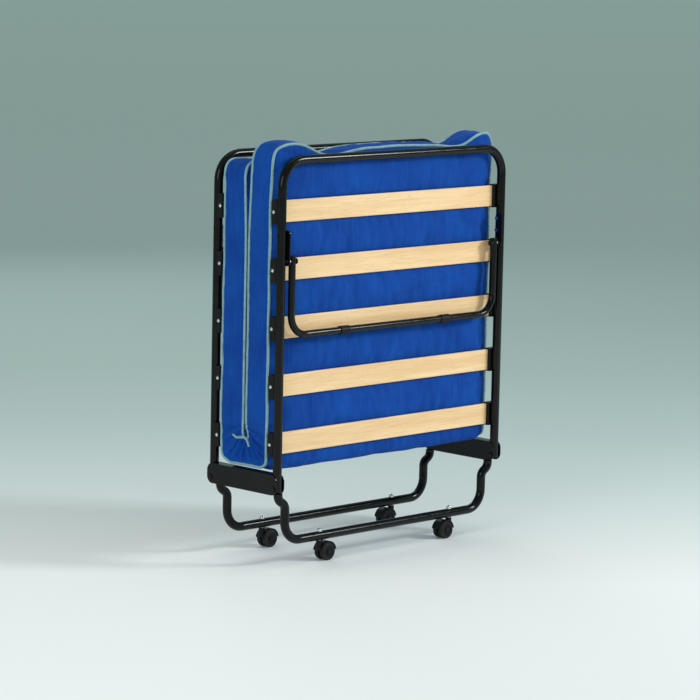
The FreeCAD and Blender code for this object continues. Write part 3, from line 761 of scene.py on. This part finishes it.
@dataclass
class WheelRibs:
    """Thin spokes moulded in the hollow faces of the caster wheels, one piece for each caster."""

    paints: Paintbox
    spokes: int = 10
    inner: float = 0.0072
    outer: float = 0.0158
    thickness: float = 0.0013
    height: float = 0.0011

    def recipe(self) -> Recipe:
        """Makes the tree: a ring of blocks on each outer face of a pair of wheels."""
        recipe = Recipe("wheel_ribs")
        spokes = recipe.takes("Spokes", "Int")
        centre = recipe.takes("Centre", "Vector")
        reach = recipe.takes("Middle Radius")
        size = recipe.takes("Block", "Vector")
        out = recipe.takes("Face")
        material = recipe.takes("Material", "Material")
        block = recipe.node("MeshCube", {"Size": size}).outputs[0]
        ring = recipe.node("MeshCircle", {"Vertices": spokes, "Radius": reach}).outputs[0]
        place = recipe.node("InputPosition").outputs[0]
        turn = recipe.node("FunctionNodeAlignRotationToVector", {"Vector": place}, axis="X").outputs[0]
        star = recipe.node("InstanceOnPoints", {"Points": ring, "Instance": block, "Rotation": turn}).outputs[0]
        faces = []
        for side in (-1.0, 1.0):
            tipped = recipe.node("Transform", {"Geometry": star, "Rotation": (math.pi / 2.0, 0.0, 0.0),
                                               "Translation": recipe.vector(0.0, recipe.times(out, side), 0.0)})
            faces.append(tipped.outputs[0])
        placed = recipe.node("Transform", {"Geometry": recipe.joined(*faces), "Translation": centre})
        recipe.close(placed.outputs[0], material)
        return recipe

    def build(self) -> None:
        """Makes the ribs of the four casters from where their wheels are."""
        recipe = self.recipe()
        for number in range(1, 5):
            low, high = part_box(f"caster_{number}_wheels")
            centre = (low + high) / 2.0
            face = (high.y - low.y) / 2.0 - 0.0015 + self.height * 0.4
            piece = recipe.make(f"caster_{number}_wheel_ribs", {
                "Spokes": self.spokes, "Centre": tuple(centre), "Middle Radius": (self.inner + self.outer) / 2.0,
                "Block": (self.outer - self.inner, self.thickness, self.height), "Face": face,
                "Material": self.paints.get(SLOT_FINISH[Slot.WHEEL_PLASTIC])})
            hand_over(piece, f"caster_{number}_roll")


@dataclass
class Mattress:
    """The doubled mattress: one stuffed form round the fold, split in the middle, with its piping and stitches."""

    paints: Paintbox
    half_width: float = 0.4345
    shift: float = -0.006
    face: float = 0.0975
    seam_faces: tuple[float, float] = (0.0855, 0.0928)
    low: float = 0.2630
    seam_low: float = 0.2705
    crotch: float = 0.348
    fold_corners: tuple[float, float] = (0.024, 0.040)
    head_corner: float = 0.042
    front_top: float = 1.128
    rear_top: float = 1.092
    step: float = 0.009
    layers: int = 10
    part_height: float = 0.86
    slat_heights: tuple[float, ...] = (0.342, 0.500, 0.658, 0.816, 0.974)
    slat_half: float = 0.030
    slat_face: float = 0.1003
    holder_face: float = 0.0969
    pressure: float = 4.0
    swell_limit: float = 0.013
    piping_radius: float = 0.0039
    stitch_gap: float = 0.0065
    bunch_line: tuple[tuple[float, float], ...] = (
        (0.052, 0.008), (0.044, 0.001), (0.034, -0.010), (0.024, -0.005), (0.009, 0.003),
        (-0.003, 0.001), (-0.010, -0.004), (-0.013, -0.013), (-0.018, -0.024))

    def __post_init__(self) -> None:
        """Sets out the lattice's rows, columns and layers."""
        self.columns = round(2.0 * self.half_width / self.step)
        front = self.row_lengths(self.front_top, self.fold_corners[0])
        rear = self.row_lengths(self.rear_top, self.fold_corners[1])
        self.lengths = np.concatenate([-front[::-1], rear[1:]])
        self.middle_row = len(front) - 1
        self.rows = len(self.lengths) - 1
        self.bracket_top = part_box("hinge_bracket_left")[1].z

    def reach(self, top: float, corner: float) -> float:
        """How far a height is along the outer face from the middle of the fold, round a corner."""
        return self.face - corner + corner * math.pi / 2.0 + top - self.low - corner

    def row_lengths(self, top: float, corner: float) -> np.ndarray:
        """Lengths along the outer face from the middle of the fold to a head end."""
        total = self.reach(top, corner)
        return np.linspace(0.0, total, round(total / self.step) + 1)

    def outer_line(self, length: np.ndarray, corner: np.ndarray) -> tuple[np.ndarray, np.ndarray]:
        """Depth and height of the outer face at lengths from the middle of the fold."""
        flat = self.face - corner
        arc = corner * math.pi / 2.0
        turn = np.clip((length - flat) / corner, 0.0, math.pi / 2.0)
        depth = np.minimum(length, flat) + corner * np.sin(turn)
        height = self.low + corner * (1.0 - np.cos(turn)) + np.maximum(length - flat - arc, 0.0)
        return depth, height

    def lattice(self) -> np.ndarray:
        """Places of all lattice points before the filling.

        Returns:
            An array of columns, rows, layers and coordinates; layer 0 is the outer face.
        """
        across = np.linspace(-self.half_width, self.half_width, self.columns + 1)[:, None, None]
        through = np.linspace(0.0, 1.0, self.layers + 1)[None, None, :]
        side = np.sign(self.lengths)
        length = np.abs(self.lengths)
        corner = np.where(side < 0.0, *self.fold_corners)
        depth, height = self.outer_line(length, corner)
        merge = self.crotch + 0.046
        share = np.clip(length / self.reach(merge, corner), 0.0, 1.0)
        inner_height = np.where(share < 1.0, self.crotch + (merge - self.crotch) * share ** 1.5, height)
        lean = smooth((inner_height - self.part_height) / 0.26)
        inner_depth = 0.0018 * smooth(share * 3.0) + 0.013 * lean
        welt = 0.0044 * smooth(share * 3.0) * (1.0 - lean)
        outer_depth = depth + 0.005 * smooth((height - 1.0) / 0.1) * (depth > self.face - 0.001)
        edge = smooth((self.half_width - np.abs(across)) / 0.035)
        between = self.between_holders(height)[None, :, None]
        sunk = (self.face - np.where(side < 0.0, *self.seam_faces))[None, :, None]
        seam_depth = outer_depth[None, :, None] - sunk * (1.0 - edge) * (1.0 - 0.1 * between)
        seam_depth = np.where(length[None, :, None] < 1e-6, 0.0, seam_depth)
        wave = 0.0012 * (1.0 + np.sin(self.lengths * 190.0 + 0.6))[None, :, None]
        near_low = smooth((self.low + 0.0254 - height) / 0.02)[None, :, None]
        lift = (self.seam_low - self.low + wave) * (1.0 - edge) * near_low
        outer_height = height[None, :, None] + lift
        y_outer = side[None, :, None] * seam_depth
        y_inner = side[None, :, None] * (inner_depth[None, :, None] + welt[None, :, None] * (1.0 - edge))
        y = y_outer + (y_inner - y_outer) * through
        z = outer_height + (inner_height[None, :, None] - outer_height) * through
        x = np.broadcast_to(across, y.shape).copy()
        self.round_heads(x, z)
        x += self.shift
        self.raise_heads(x, y, z)
        return np.stack([x, y, z], axis=-1)

    def between_holders(self, height: np.ndarray) -> np.ndarray:
        """1 midway between two holders and 0 beside one."""
        nearest = np.min(np.abs(height[:, None] - np.array(self.slat_heights)[None, :]), axis=1)
        return smooth((nearest - 0.036) / 0.03)

    def round_heads(self, x: np.ndarray, z: np.ndarray) -> None:
        """Rounds the corners of both head ends in place."""
        radius = self.head_corner
        front = self.lengths < 0.0
        for rows, top in ((front, self.front_top), (~front, self.rear_top)):
            zz, xx = z[:, rows], x[:, rows]
            u = np.clip((np.abs(xx) - self.half_width + radius) / radius, 0.0, 1.0)
            v = np.clip((zz - top + radius) / radius, 0.0, 1.0)
            inside = (u > 0.0) & (v > 0.0)
            new_x = np.sign(xx) * (self.half_width - radius + radius * u * np.sqrt(1.0 - v * v / 2.0))
            new_z = top - radius + radius * v * np.sqrt(1.0 - u * u / 2.0)
            x[:, rows] = np.where(inside, new_x, xx)
            z[:, rows] = np.where(inside, new_z, zz)

    def raise_heads(self, x: np.ndarray, y: np.ndarray, z: np.ndarray) -> None:
        """Lifts and dips the head ends in place: two ears, two dips and a low hump on the front one."""
        marks = (-0.432, -0.375, -0.335, -0.275, -0.215, -0.10, 0.05, 0.18, 0.255, 0.30, 0.345, 0.39, 0.432)
        lifts = (0.020, 0.029, 0.022, -0.008, -0.011, 0.003, 0.004, 0.000, -0.008, -0.007, 0.022, 0.032, 0.022)
        fine = np.linspace(-0.44, 0.44, 177)
        curve = np.interp(fine, marks, lifts)
        bell = np.exp(-0.5 * (np.arange(-12, 13) / 4.0) ** 2)
        curve = np.convolve(np.pad(curve, 12, mode="edge"), bell / bell.sum(), mode="valid")
        lift = np.interp(x, fine, curve)
        front = (self.lengths < 0.0)[None, :, None]
        share = smooth((z - 1.0) / (self.front_top - 1.0))
        rear_share = smooth((z - 0.98) / (self.rear_top - 0.98))
        rear_lift = 0.004 * np.sin(x * 13.0 + 1.0) + 0.006 * smooth((np.abs(x) - 0.33) / 0.08)
        z += np.where(front, lift * share, rear_lift * rear_share)

    def shell(self) -> tuple[np.ndarray, np.ndarray, np.ndarray]:
        """Numbers the lattice's surface points and lists its faces.

        Returns:
            The number of each point, or -1 inside; the faces; and a cloth coordinate for each face corner.
        """
        shape = (self.columns + 1, self.rows + 1, self.layers + 1)
        hull = np.zeros(shape, bool)
        hull[[0, -1]] = True
        hull[:, [0, -1]] = True
        hull[:, :, [0, -1]] = True
        ids = np.full(shape, -1)
        ids[hull] = np.arange(hull.sum())
        i, j, k = np.meshgrid(*(np.arange(n) for n in shape), indexing="ij")
        flat_x = i * self.step
        flat_s = self.lengths[j]
        flat_t = k * 0.095 / self.layers
        faces, cloth = [], []
        for axis, (first, second) in ((0, (flat_s, flat_t)), (1, (flat_x, flat_t)), (2, (flat_x, flat_s))):
            for end in (0, -1):
                sheet = np.take(ids, end, axis=axis)
                us, vs = np.take(first, end, axis=axis), np.take(second, end, axis=axis)
                if axis == 0:
                    us, vs = vs, us
                quads = [g[:-1, :-1] for g in (sheet, us, vs)], [g[1:, :-1] for g in (sheet, us, vs)], \
                        [g[1:, 1:] for g in (sheet, us, vs)], [g[:-1, 1:] for g in (sheet, us, vs)]
                order = (0, 1, 2, 3) if (end == 0) == (axis == 1) else (3, 2, 1, 0)
                faces.append(np.stack([quads[q][0].ravel() for q in order], axis=1))
                cloth.append(np.stack([np.stack([quads[q][1].ravel(), quads[q][2].ravel()], 1) for q in order], 1))
        return ids, np.concatenate(faces), np.concatenate(cloth)

    def held_points(self, rest: np.ndarray, hull: np.ndarray) -> np.ndarray:
        """How firmly each surface point is held while the form fills, from 0 to 1."""
        i, j, k = np.nonzero(hull)
        x, y, z = rest[hull].T
        held = np.zeros(len(x))
        side_end = (i == 0) | (i == self.columns)
        head_end = (j == 0) | (j == self.rows)
        panel = (k == 0) | (k == self.layers)
        held[(side_end | head_end) & panel] = 1.0
        held[side_end & head_end] = 1.0
        outer = (k == 0) & (z > 0.30)
        for middle in self.slat_heights:
            held[outer & (np.abs(z - middle) < self.slat_half - 0.002)] = 1.0
        held[(k == self.layers) & (z < self.part_height)] = 1.0
        held[(k == 0) & (z < self.low + 0.012)] = 1.0
        held[np.abs(self.lengths[j]) < 1e-6] = 1.0
        return held

    def fill(self, piece: bpy.types.Object, held: np.ndarray) -> np.ndarray:
        """Fills the form by a short cloth simulation with pressure inside.

        Args:
            piece: the mesh object, which is left as it was.
            held: how firmly each point is held.

        Returns:
            The points' new places.
        """
        group = piece.vertex_groups.new(name="held")
        for index in np.nonzero(held > 0.5)[0]:
            group.add([int(index)], 1.0, "REPLACE")
        modifier = piece.modifiers.new("filling", "CLOTH")
        cloth = modifier.settings
        cloth.quality = 4
        cloth.mass = 0.3
        cloth.tension_stiffness = 12.0
        cloth.compression_stiffness = 12.0
        cloth.shear_stiffness = 4.0
        cloth.bending_stiffness = 0.4
        cloth.use_pressure = True
        cloth.uniform_pressure_force = self.pressure
        cloth.effector_weights.gravity = 0.0
        cloth.vertex_group_mass = "held"
        cloth.shrink_min = -0.035
        modifier.collision_settings.use_collision = False
        modifier.collision_settings.use_self_collision = False
        modifier.point_cache.frame_start = 1
        modifier.point_cache.frame_end = 20
        scene = bpy.context.scene
        for frame in range(1, 21):
            scene.frame_set(frame)
        graph = bpy.context.evaluated_depsgraph_get()
        evaluated = piece.evaluated_get(graph)
        places = np.empty(len(piece.data.vertices) * 3)
        evaluated.data.vertices.foreach_get("co", places)
        piece.modifiers.remove(modifier)
        piece.vertex_groups.clear()
        scene.frame_set(1)
        return places.reshape(-1, 3)

    def settle(self, rest: np.ndarray, moved: np.ndarray) -> np.ndarray:
        """Caps how far points moved."""
        shift = moved - rest
        far = np.linalg.norm(shift, axis=1, keepdims=True)
        cap = self.swell_limit
        shift *= np.where(far > 1e-9, cap * np.tanh(far / cap) / np.maximum(far, 1e-9), 1.0)
        return rest + shift

    def clear(self, places: np.ndarray) -> np.ndarray:
        """Keeps points off the slats, holders and brackets."""
        x, y, z = places.T
        nearest = np.min(np.abs(z[:, None] - np.array(self.slat_heights)[None, :]), axis=1)
        limit = np.full(len(x), 0.1085)
        limit = np.where(nearest < self.slat_half + 0.004, self.slat_face, limit)
        limit = np.where((nearest < self.slat_half + 0.007) & (np.abs(x) > 0.408), self.holder_face, limit)
        y = np.clip(y, -limit, limit)
        z = np.where((np.abs(x) > 0.41) & (np.abs(y) < 0.115), np.maximum(z, self.bracket_top + 0.0008), z)
        z = np.maximum(z, self.low - 0.008)
        return np.stack([np.clip(x, -0.4455, 0.4455), y, z], axis=1)

    def crease(self, places: np.ndarray, normals: np.ndarray, hull: np.ndarray) -> np.ndarray:
        """Adds the folds that the filling alone doesn't give.

        Args:
            places: the surface points.
            normals: their outward normals.
            hull: which lattice points are on the surface.

        Returns:
            The points' new places.
        """
        i, j, k = np.nonzero(hull)
        length = self.lengths[j]
        x, y, z = places.T
        through = k / self.layers
        side_end = (i == 0) | (i == self.columns)
        fan = smooth((0.215 - np.abs(length)) / 0.06)
        depth = smooth(through * 4.0) * (0.35 + 0.65 * smooth((1.0 - through) * 1.8))
        folds = 0.5 + 0.5 * np.sin(length * 205.0 + 1.3 * np.sin(length * 61.0) + np.sign(x))
        drop = np.where(side_end, 0.0185 * fan * depth * folds ** 1.6, 0.0)
        near_tuft = np.exp(-((z - self.crotch) ** 2 + y ** 2) / 0.018 ** 2)
        drop += np.where(side_end, 0.009 * near_tuft, 0.0)
        soft = np.zeros(len(x))
        for number, (px, py, pz) in enumerate(places):
            place = Vector((px * 16.0 + py * 9.0, py * 12.0, pz * 5.5))
            soft[number] = noise.noise(place) + 0.5 * noise.noise(place * 2.3)
        panel = (k == 0) & (z > 0.26)
        soft_depth = np.where(panel, 0.0022, 0.0014)
        shift = soft * soft_depth - drop
        for fold in self.long_folds():
            shift -= np.where(panel & (y < 0.0), fold.depth_at(x, z), 0.0)
        return places + normals * shift[:, None]

    def long_folds(self) -> list["SoftFold"]:
        """The longer folds in the front panel."""
        return [
            SoftFold((-0.115, 1.085), (-0.128, 1.018), 0.006, 0.0045),
            SoftFold((-0.090, 1.090), (-0.098, 1.045), 0.005, 0.003),
            SoftFold((-0.310, 1.080), (-0.335, 1.022), 0.008, 0.003),
            SoftFold((0.150, 1.085), (0.165, 1.040), 0.007, 0.003),
            SoftFold((0.330, 1.085), (0.300, 1.015), 0.007, 0.0035),
            SoftFold((0.385, 0.765), (0.02, 0.705), 0.008, 0.0045),
            SoftFold((0.36, 0.735), (0.10, 0.705), 0.007, 0.003),
            SoftFold((-0.31, 0.920), (0.10, 0.905), 0.010, 0.002),
            SoftFold((0.22, 0.925), (0.40, 0.880), 0.008, 0.003),
            SoftFold((-0.36, 0.600), (0.18, 0.590), 0.010, 0.0025),
            SoftFold((0.28, 0.445), (0.41, 0.400), 0.008, 0.003),
            SoftFold((-0.30, 0.430), (0.10, 0.420), 0.009, 0.002),
        ]

    def build(self) -> None:
        """Makes the cover's two halves, their piping and their stitches."""
        lattice = self.lattice()
        ids, faces, cloth = self.shell()
        hull = ids >= 0
        rest = lattice[hull]
        whole = self.mesh_object("mattress_form", rest, faces, cloth)
        held = self.held_points(lattice, hull)
        normals = self.normals_of(whole)
        moved = self.fill(whole, held)
        places = self.settle(rest, moved)
        self.put(whole, places)
        places = self.crease(places, self.normals_of(whole), hull)
        places = self.clear(places)
        self.put(whole, places)
        middle = ids[:, self.middle_row, :]
        middle = middle[middle >= 0]
        smoothed = self.subdivide(whole)
        fine = self.places_of(smoothed)
        fine = self.clear(fine)
        self.put(smoothed, fine)
        fine_normals = self.normals_of(smoothed)
        log.info("filled form: %d faces, %d on the split", len(smoothed.data.polygons), len(middle))
        self.split(smoothed)
        self.trim(ids, fine, fine_normals)
        bpy.data.objects.remove(whole)
        bpy.data.objects.remove(smoothed)

    def mesh_object(self, name: str, places: np.ndarray, faces: np.ndarray, cloth: np.ndarray) -> bpy.types.Object:
        """Makes an object from points, quads and cloth coordinates."""
        mesh = bpy.data.meshes.new(name)
        mesh.from_pydata(places.tolist(), [], faces.tolist())
        layer = mesh.uv_layers.new(name="cloth")
        layer.data.foreach_set("uv", cloth.reshape(-1).astype(np.float32))
        mesh.polygons.foreach_set("use_smooth", [True] * len(mesh.polygons))
        mesh.update()
        piece = bpy.data.objects.new(name, mesh)
        bpy.context.scene.collection.objects.link(piece)
        return piece

    def put(self, piece: bpy.types.Object, places: np.ndarray) -> None:
        """Moves a mesh's points."""
        piece.data.vertices.foreach_set("co", places.astype(np.float32).ravel())
        piece.data.update()

    def places_of(self, piece: bpy.types.Object) -> np.ndarray:
        """A mesh's points as an array."""
        places = np.empty(len(piece.data.vertices) * 3, np.float32)
        piece.data.vertices.foreach_get("co", places)
        return places.reshape(-1, 3).astype(float)

    def normals_of(self, piece: bpy.types.Object) -> np.ndarray:
        """A mesh's point normals as an array."""
        values = np.empty(len(piece.data.vertices) * 3, np.float32)
        piece.data.vertex_normals.foreach_get("vector", values)
        return values.reshape(-1, 3).astype(float)

    def subdivide(self, piece: bpy.types.Object) -> bpy.types.Object:
        """Subdivides a mesh once into a new object; its first points stay the old ones, smoothed."""
        modifier = piece.modifiers.new("finer", "SUBSURF")
        modifier.levels = 1
        modifier.render_levels = 1
        modifier.uv_smooth = "NONE"
        graph = bpy.context.evaluated_depsgraph_get()
        mesh = bpy.data.meshes.new_from_object(piece.evaluated_get(graph), preserve_all_data_layers=True, depsgraph=graph)
        piece.modifiers.remove(modifier)
        finer = bpy.data.objects.new(f"{piece.name}_fine", mesh)
        bpy.context.scene.collection.objects.link(finer)
        return finer

    def split(self, whole: bpy.types.Object) -> None:
        """Cuts the form at the middle of the fold into two closed covers."""
        for half in Half:
            mesh = whole.data.copy()
            sketch = bmesh.new()
            sketch.from_mesh(mesh)
            geometry = sketch.verts[:] + sketch.edges[:] + sketch.faces[:]
            bmesh.ops.bisect_plane(sketch, geom=geometry, dist=1e-6, plane_co=(0.0, 0.0, 0.0),
                                   plane_no=(0.0, -float(half.value), 0.0), clear_outer=True)
            rim = [edge for edge in sketch.edges if edge.is_boundary]
            for face in bmesh.ops.holes_fill(sketch, edges=rim, sides=0)["faces"]:
                face.smooth = False
            for edge in rim:
                if edge.is_valid:
                    edge.smooth = False
            bmesh.ops.recalc_face_normals(sketch, faces=sketch.faces[:])
            sketch.to_mesh(mesh)
            sketch.free()
            mesh.materials.clear()
            mesh.materials.append(self.paints.get(SLOT_FINISH[Slot.MATTRESS_TICKING]))
            cover = bpy.data.objects.new(f"mattress_cover_{half.word}", mesh)
            mesh.name = cover.name
            bpy.context.scene.collection.objects.link(cover)
            self.bend(cover)
            hand_over(cover, None, [f"mattress_{half.word}", "mattress_fold"])

    def bend(self, piece: bpy.types.Object) -> None:
        """Bakes a piece's placement into its mesh."""
        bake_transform(piece)

    def seam(self, ids: np.ndarray, half: Half, layer: int, inset: int = 0) -> np.ndarray:
        """Numbers of the points round one edge of a panel, from the fold, over the head end and back.

        Args:
            ids: the number of each lattice point.
            half: which half.
            layer: 0 for the outer panel and -1 for the inner one.
            inset: how many points in from the edge.

        Returns:
            The point numbers in order.
        """
        sheet = ids[:, :, layer]
        if half is Half.FRONT:
            rows = np.arange(self.middle_row, inset - 1, -1)
        else:
            rows = np.arange(self.middle_row, self.rows + 1 - inset)
        left, right = inset, self.columns - inset
        up = sheet[left, rows]
        over = sheet[left + 1:right, rows[-1]]
        down = sheet[right, rows[::-1]]
        return np.concatenate([up, over, down])

    def trim(self, ids: np.ndarray, places: np.ndarray, normals: np.ndarray) -> None:
        """Makes the piping on the four edges and a row of stitches beside the outer two."""
        piping = self.piping_recipe()
        stitching = self.stitch_recipe()
        braid = self.paints.get(Braid("piping_grey_green"))
        thread = self.paints.get(Braid("thread_blue", linear(24, 70, 150), linear(14, 48, 118), 900.0))
        for half in Half:
            for word, layer in (("outer", 0), ("inner", -1)):
                line = self.seam(ids, half, layer)
                path = places[line] + normals[line] * 0.0012
                path[[0, -1], 1] = 0.0
                if layer == 0:
                    path = self.clear_piping(path)
                mesh = self.path_mesh(path)
                piece = piping.make(f"piping_{word}_{half.word}", {
                    "Radius": self.piping_radius, "Sides": 12, "Material": braid}, mesh)
                self.bend(piece)
                hand_over(piece)
            line = self.seam(ids, half, 0, 1)
            mesh = self.path_mesh(places[line] + normals[line] * 0.0002)
            piece = stitching.make(f"seam_stitches_{half.word}", {
                "Gap": self.stitch_gap, "Size": (0.0005, 0.0005, 0.0023), "Material": thread}, mesh)
            self.bend(piece)
            hand_over(piece)
        for word, side in (("left", -1.0), ("right", 1.0)):
            across = self.shift + side * (self.half_width - 0.001)
            path = np.array([(across, depth, self.crotch + rise) for depth, rise in self.bunch_line])
            piece = piping.make(f"piping_bunch_{word}", {
                "Radius": self.piping_radius, "Sides": 12, "Material": braid}, self.path_mesh(path))
            hand_over(piece, "centre")

    def clear_piping(self, path: np.ndarray) -> np.ndarray:
        """Keeps the piping's middle line off the holders and the brackets."""
        room = self.piping_radius + 0.0003
        nearest = np.min(np.abs(path[:, 2][:, None] - np.array(self.slat_heights)[None, :]), axis=1)
        beside = smooth((0.048 - nearest) / 0.012)
        limit = 0.1085 - (0.1085 - self.holder_face - 0.0004 + room) * beside
        path[:, 1] = np.clip(path[:, 1], -limit, limit)
        path[:, 2] = np.maximum(path[:, 2], self.bracket_top + room)
        return path

    def path_mesh(self, path: np.ndarray) -> bpy.types.Mesh:
        """An open line of edges through points, evened out a little."""
        calm = path.copy()
        for _ in range(2):
            calm[1:-1] = (calm[:-2] + 2.0 * calm[1:-1] + calm[2:]) / 4.0
        mesh = bpy.data.meshes.new("path")
        count = len(calm)
        mesh.from_pydata(calm.tolist(), [(n, n + 1) for n in range(count - 1)], [])
        return mesh

    def piping_recipe(self) -> Recipe:
        """Makes the tree that sweeps a round cord along the object's edges."""
        recipe = Recipe("piping", takes_geometry=True)
        radius = recipe.takes("Radius")
        sides = recipe.takes("Sides", "Int")
        material = recipe.takes("Material", "Material")
        line = recipe.node("MeshToCurve", {0: recipe.start.outputs["Geometry"]}).outputs[0]
        ring = recipe.node("CurvePrimitiveCircle", {"Resolution": sides, "Radius": radius}).outputs[0]
        cord = recipe.node("CurveToMesh", {"Curve": line, "Profile Curve": ring, "Fill Caps": True}).outputs[0]
        recipe.close(cord, material)
        return recipe

    def stitch_recipe(self) -> Recipe:
        """Makes the tree that sets stitches along the object's edges at an even gap."""
        recipe = Recipe("stitches", takes_geometry=True)
        gap = recipe.takes("Gap")
        size = recipe.takes("Size", "Vector")
        material = recipe.takes("Material", "Material")
        line = recipe.node("MeshToCurve", {0: recipe.start.outputs["Geometry"]}).outputs[0]
        points = recipe.node("CurveToPoints", {"Curve": line, "Length": gap}, mode="LENGTH")
        bead = recipe.node("MeshUVSphere", {"Segments": 6, "Rings": 5, "Radius": 1.0}).outputs[0]
        shaped = recipe.node("Transform", {"Geometry": bead, "Scale": size}).outputs[0]
        placed = recipe.node("InstanceOnPoints", {"Points": points.outputs["Points"], "Instance": shaped,
                                                  "Rotation": points.outputs["Rotation"]}).outputs[0]
        recipe.close(placed, material)
        return recipe


@dataclass(frozen=True)
class SoftFold:
    """A straight soft groove in the front panel, from one place to another across and up."""

    start: tuple[float, float]
    end: tuple[float, float]
    width: float
    depth: float

    def depth_at(self, x: np.ndarray, z: np.ndarray) -> np.ndarray:
        """How deep the groove is at places across and up."""
        along_x, along_z = self.end[0] - self.start[0], self.end[1] - self.start[1]
        reach = math.hypot(along_x, along_z)
        share = ((x - self.start[0]) * along_x + (z - self.start[1]) * along_z) / reach ** 2
        wander = 0.35 * self.width * np.sin(share * 7.0)
        off = ((z - self.start[1]) * along_x - (x - self.start[0]) * along_z) / reach - wander
        fade = smooth(share / 0.25) * smooth((1.0 - share) / 0.25)
        ridge = np.exp(-(off / self.width) ** 2) - 0.6 * np.exp(-((off - 1.8 * self.width) / (1.3 * self.width)) ** 2)
        return self.depth * fade * ridge


def keep_size(name: str, store: dict[str, list[list[float]]]) -> None:
    """Notes the whole object's box under a name."""
    low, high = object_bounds()
    store[name] = [[float(v) for v in low], [float(v) for v in high]]


def main() -> None:
    """Builds everything in order."""
    logging.basicConfig(level=logging.INFO, format="%(name)s: %(message)s")
    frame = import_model()
    sizes: dict[str, list[list[float]]] = {}
    keep_size("cad", sizes)
    bpy.context.scene.view_settings.view_transform = "Standard"
    paints = Paintbox()
    slots = {row["node"]: Slot(row["material_slot"]) for row in frame["record"]["subparts"]}
    Studio().build()
    Metalwork(frame["nodes"], slots, paints).dress()
    HolderRivets(paints).build()
    WheelRibs(paints).build()
    Mattress(paints).build()
    keep_size("visual", sizes)


if __name__ == "__main__":
    main()
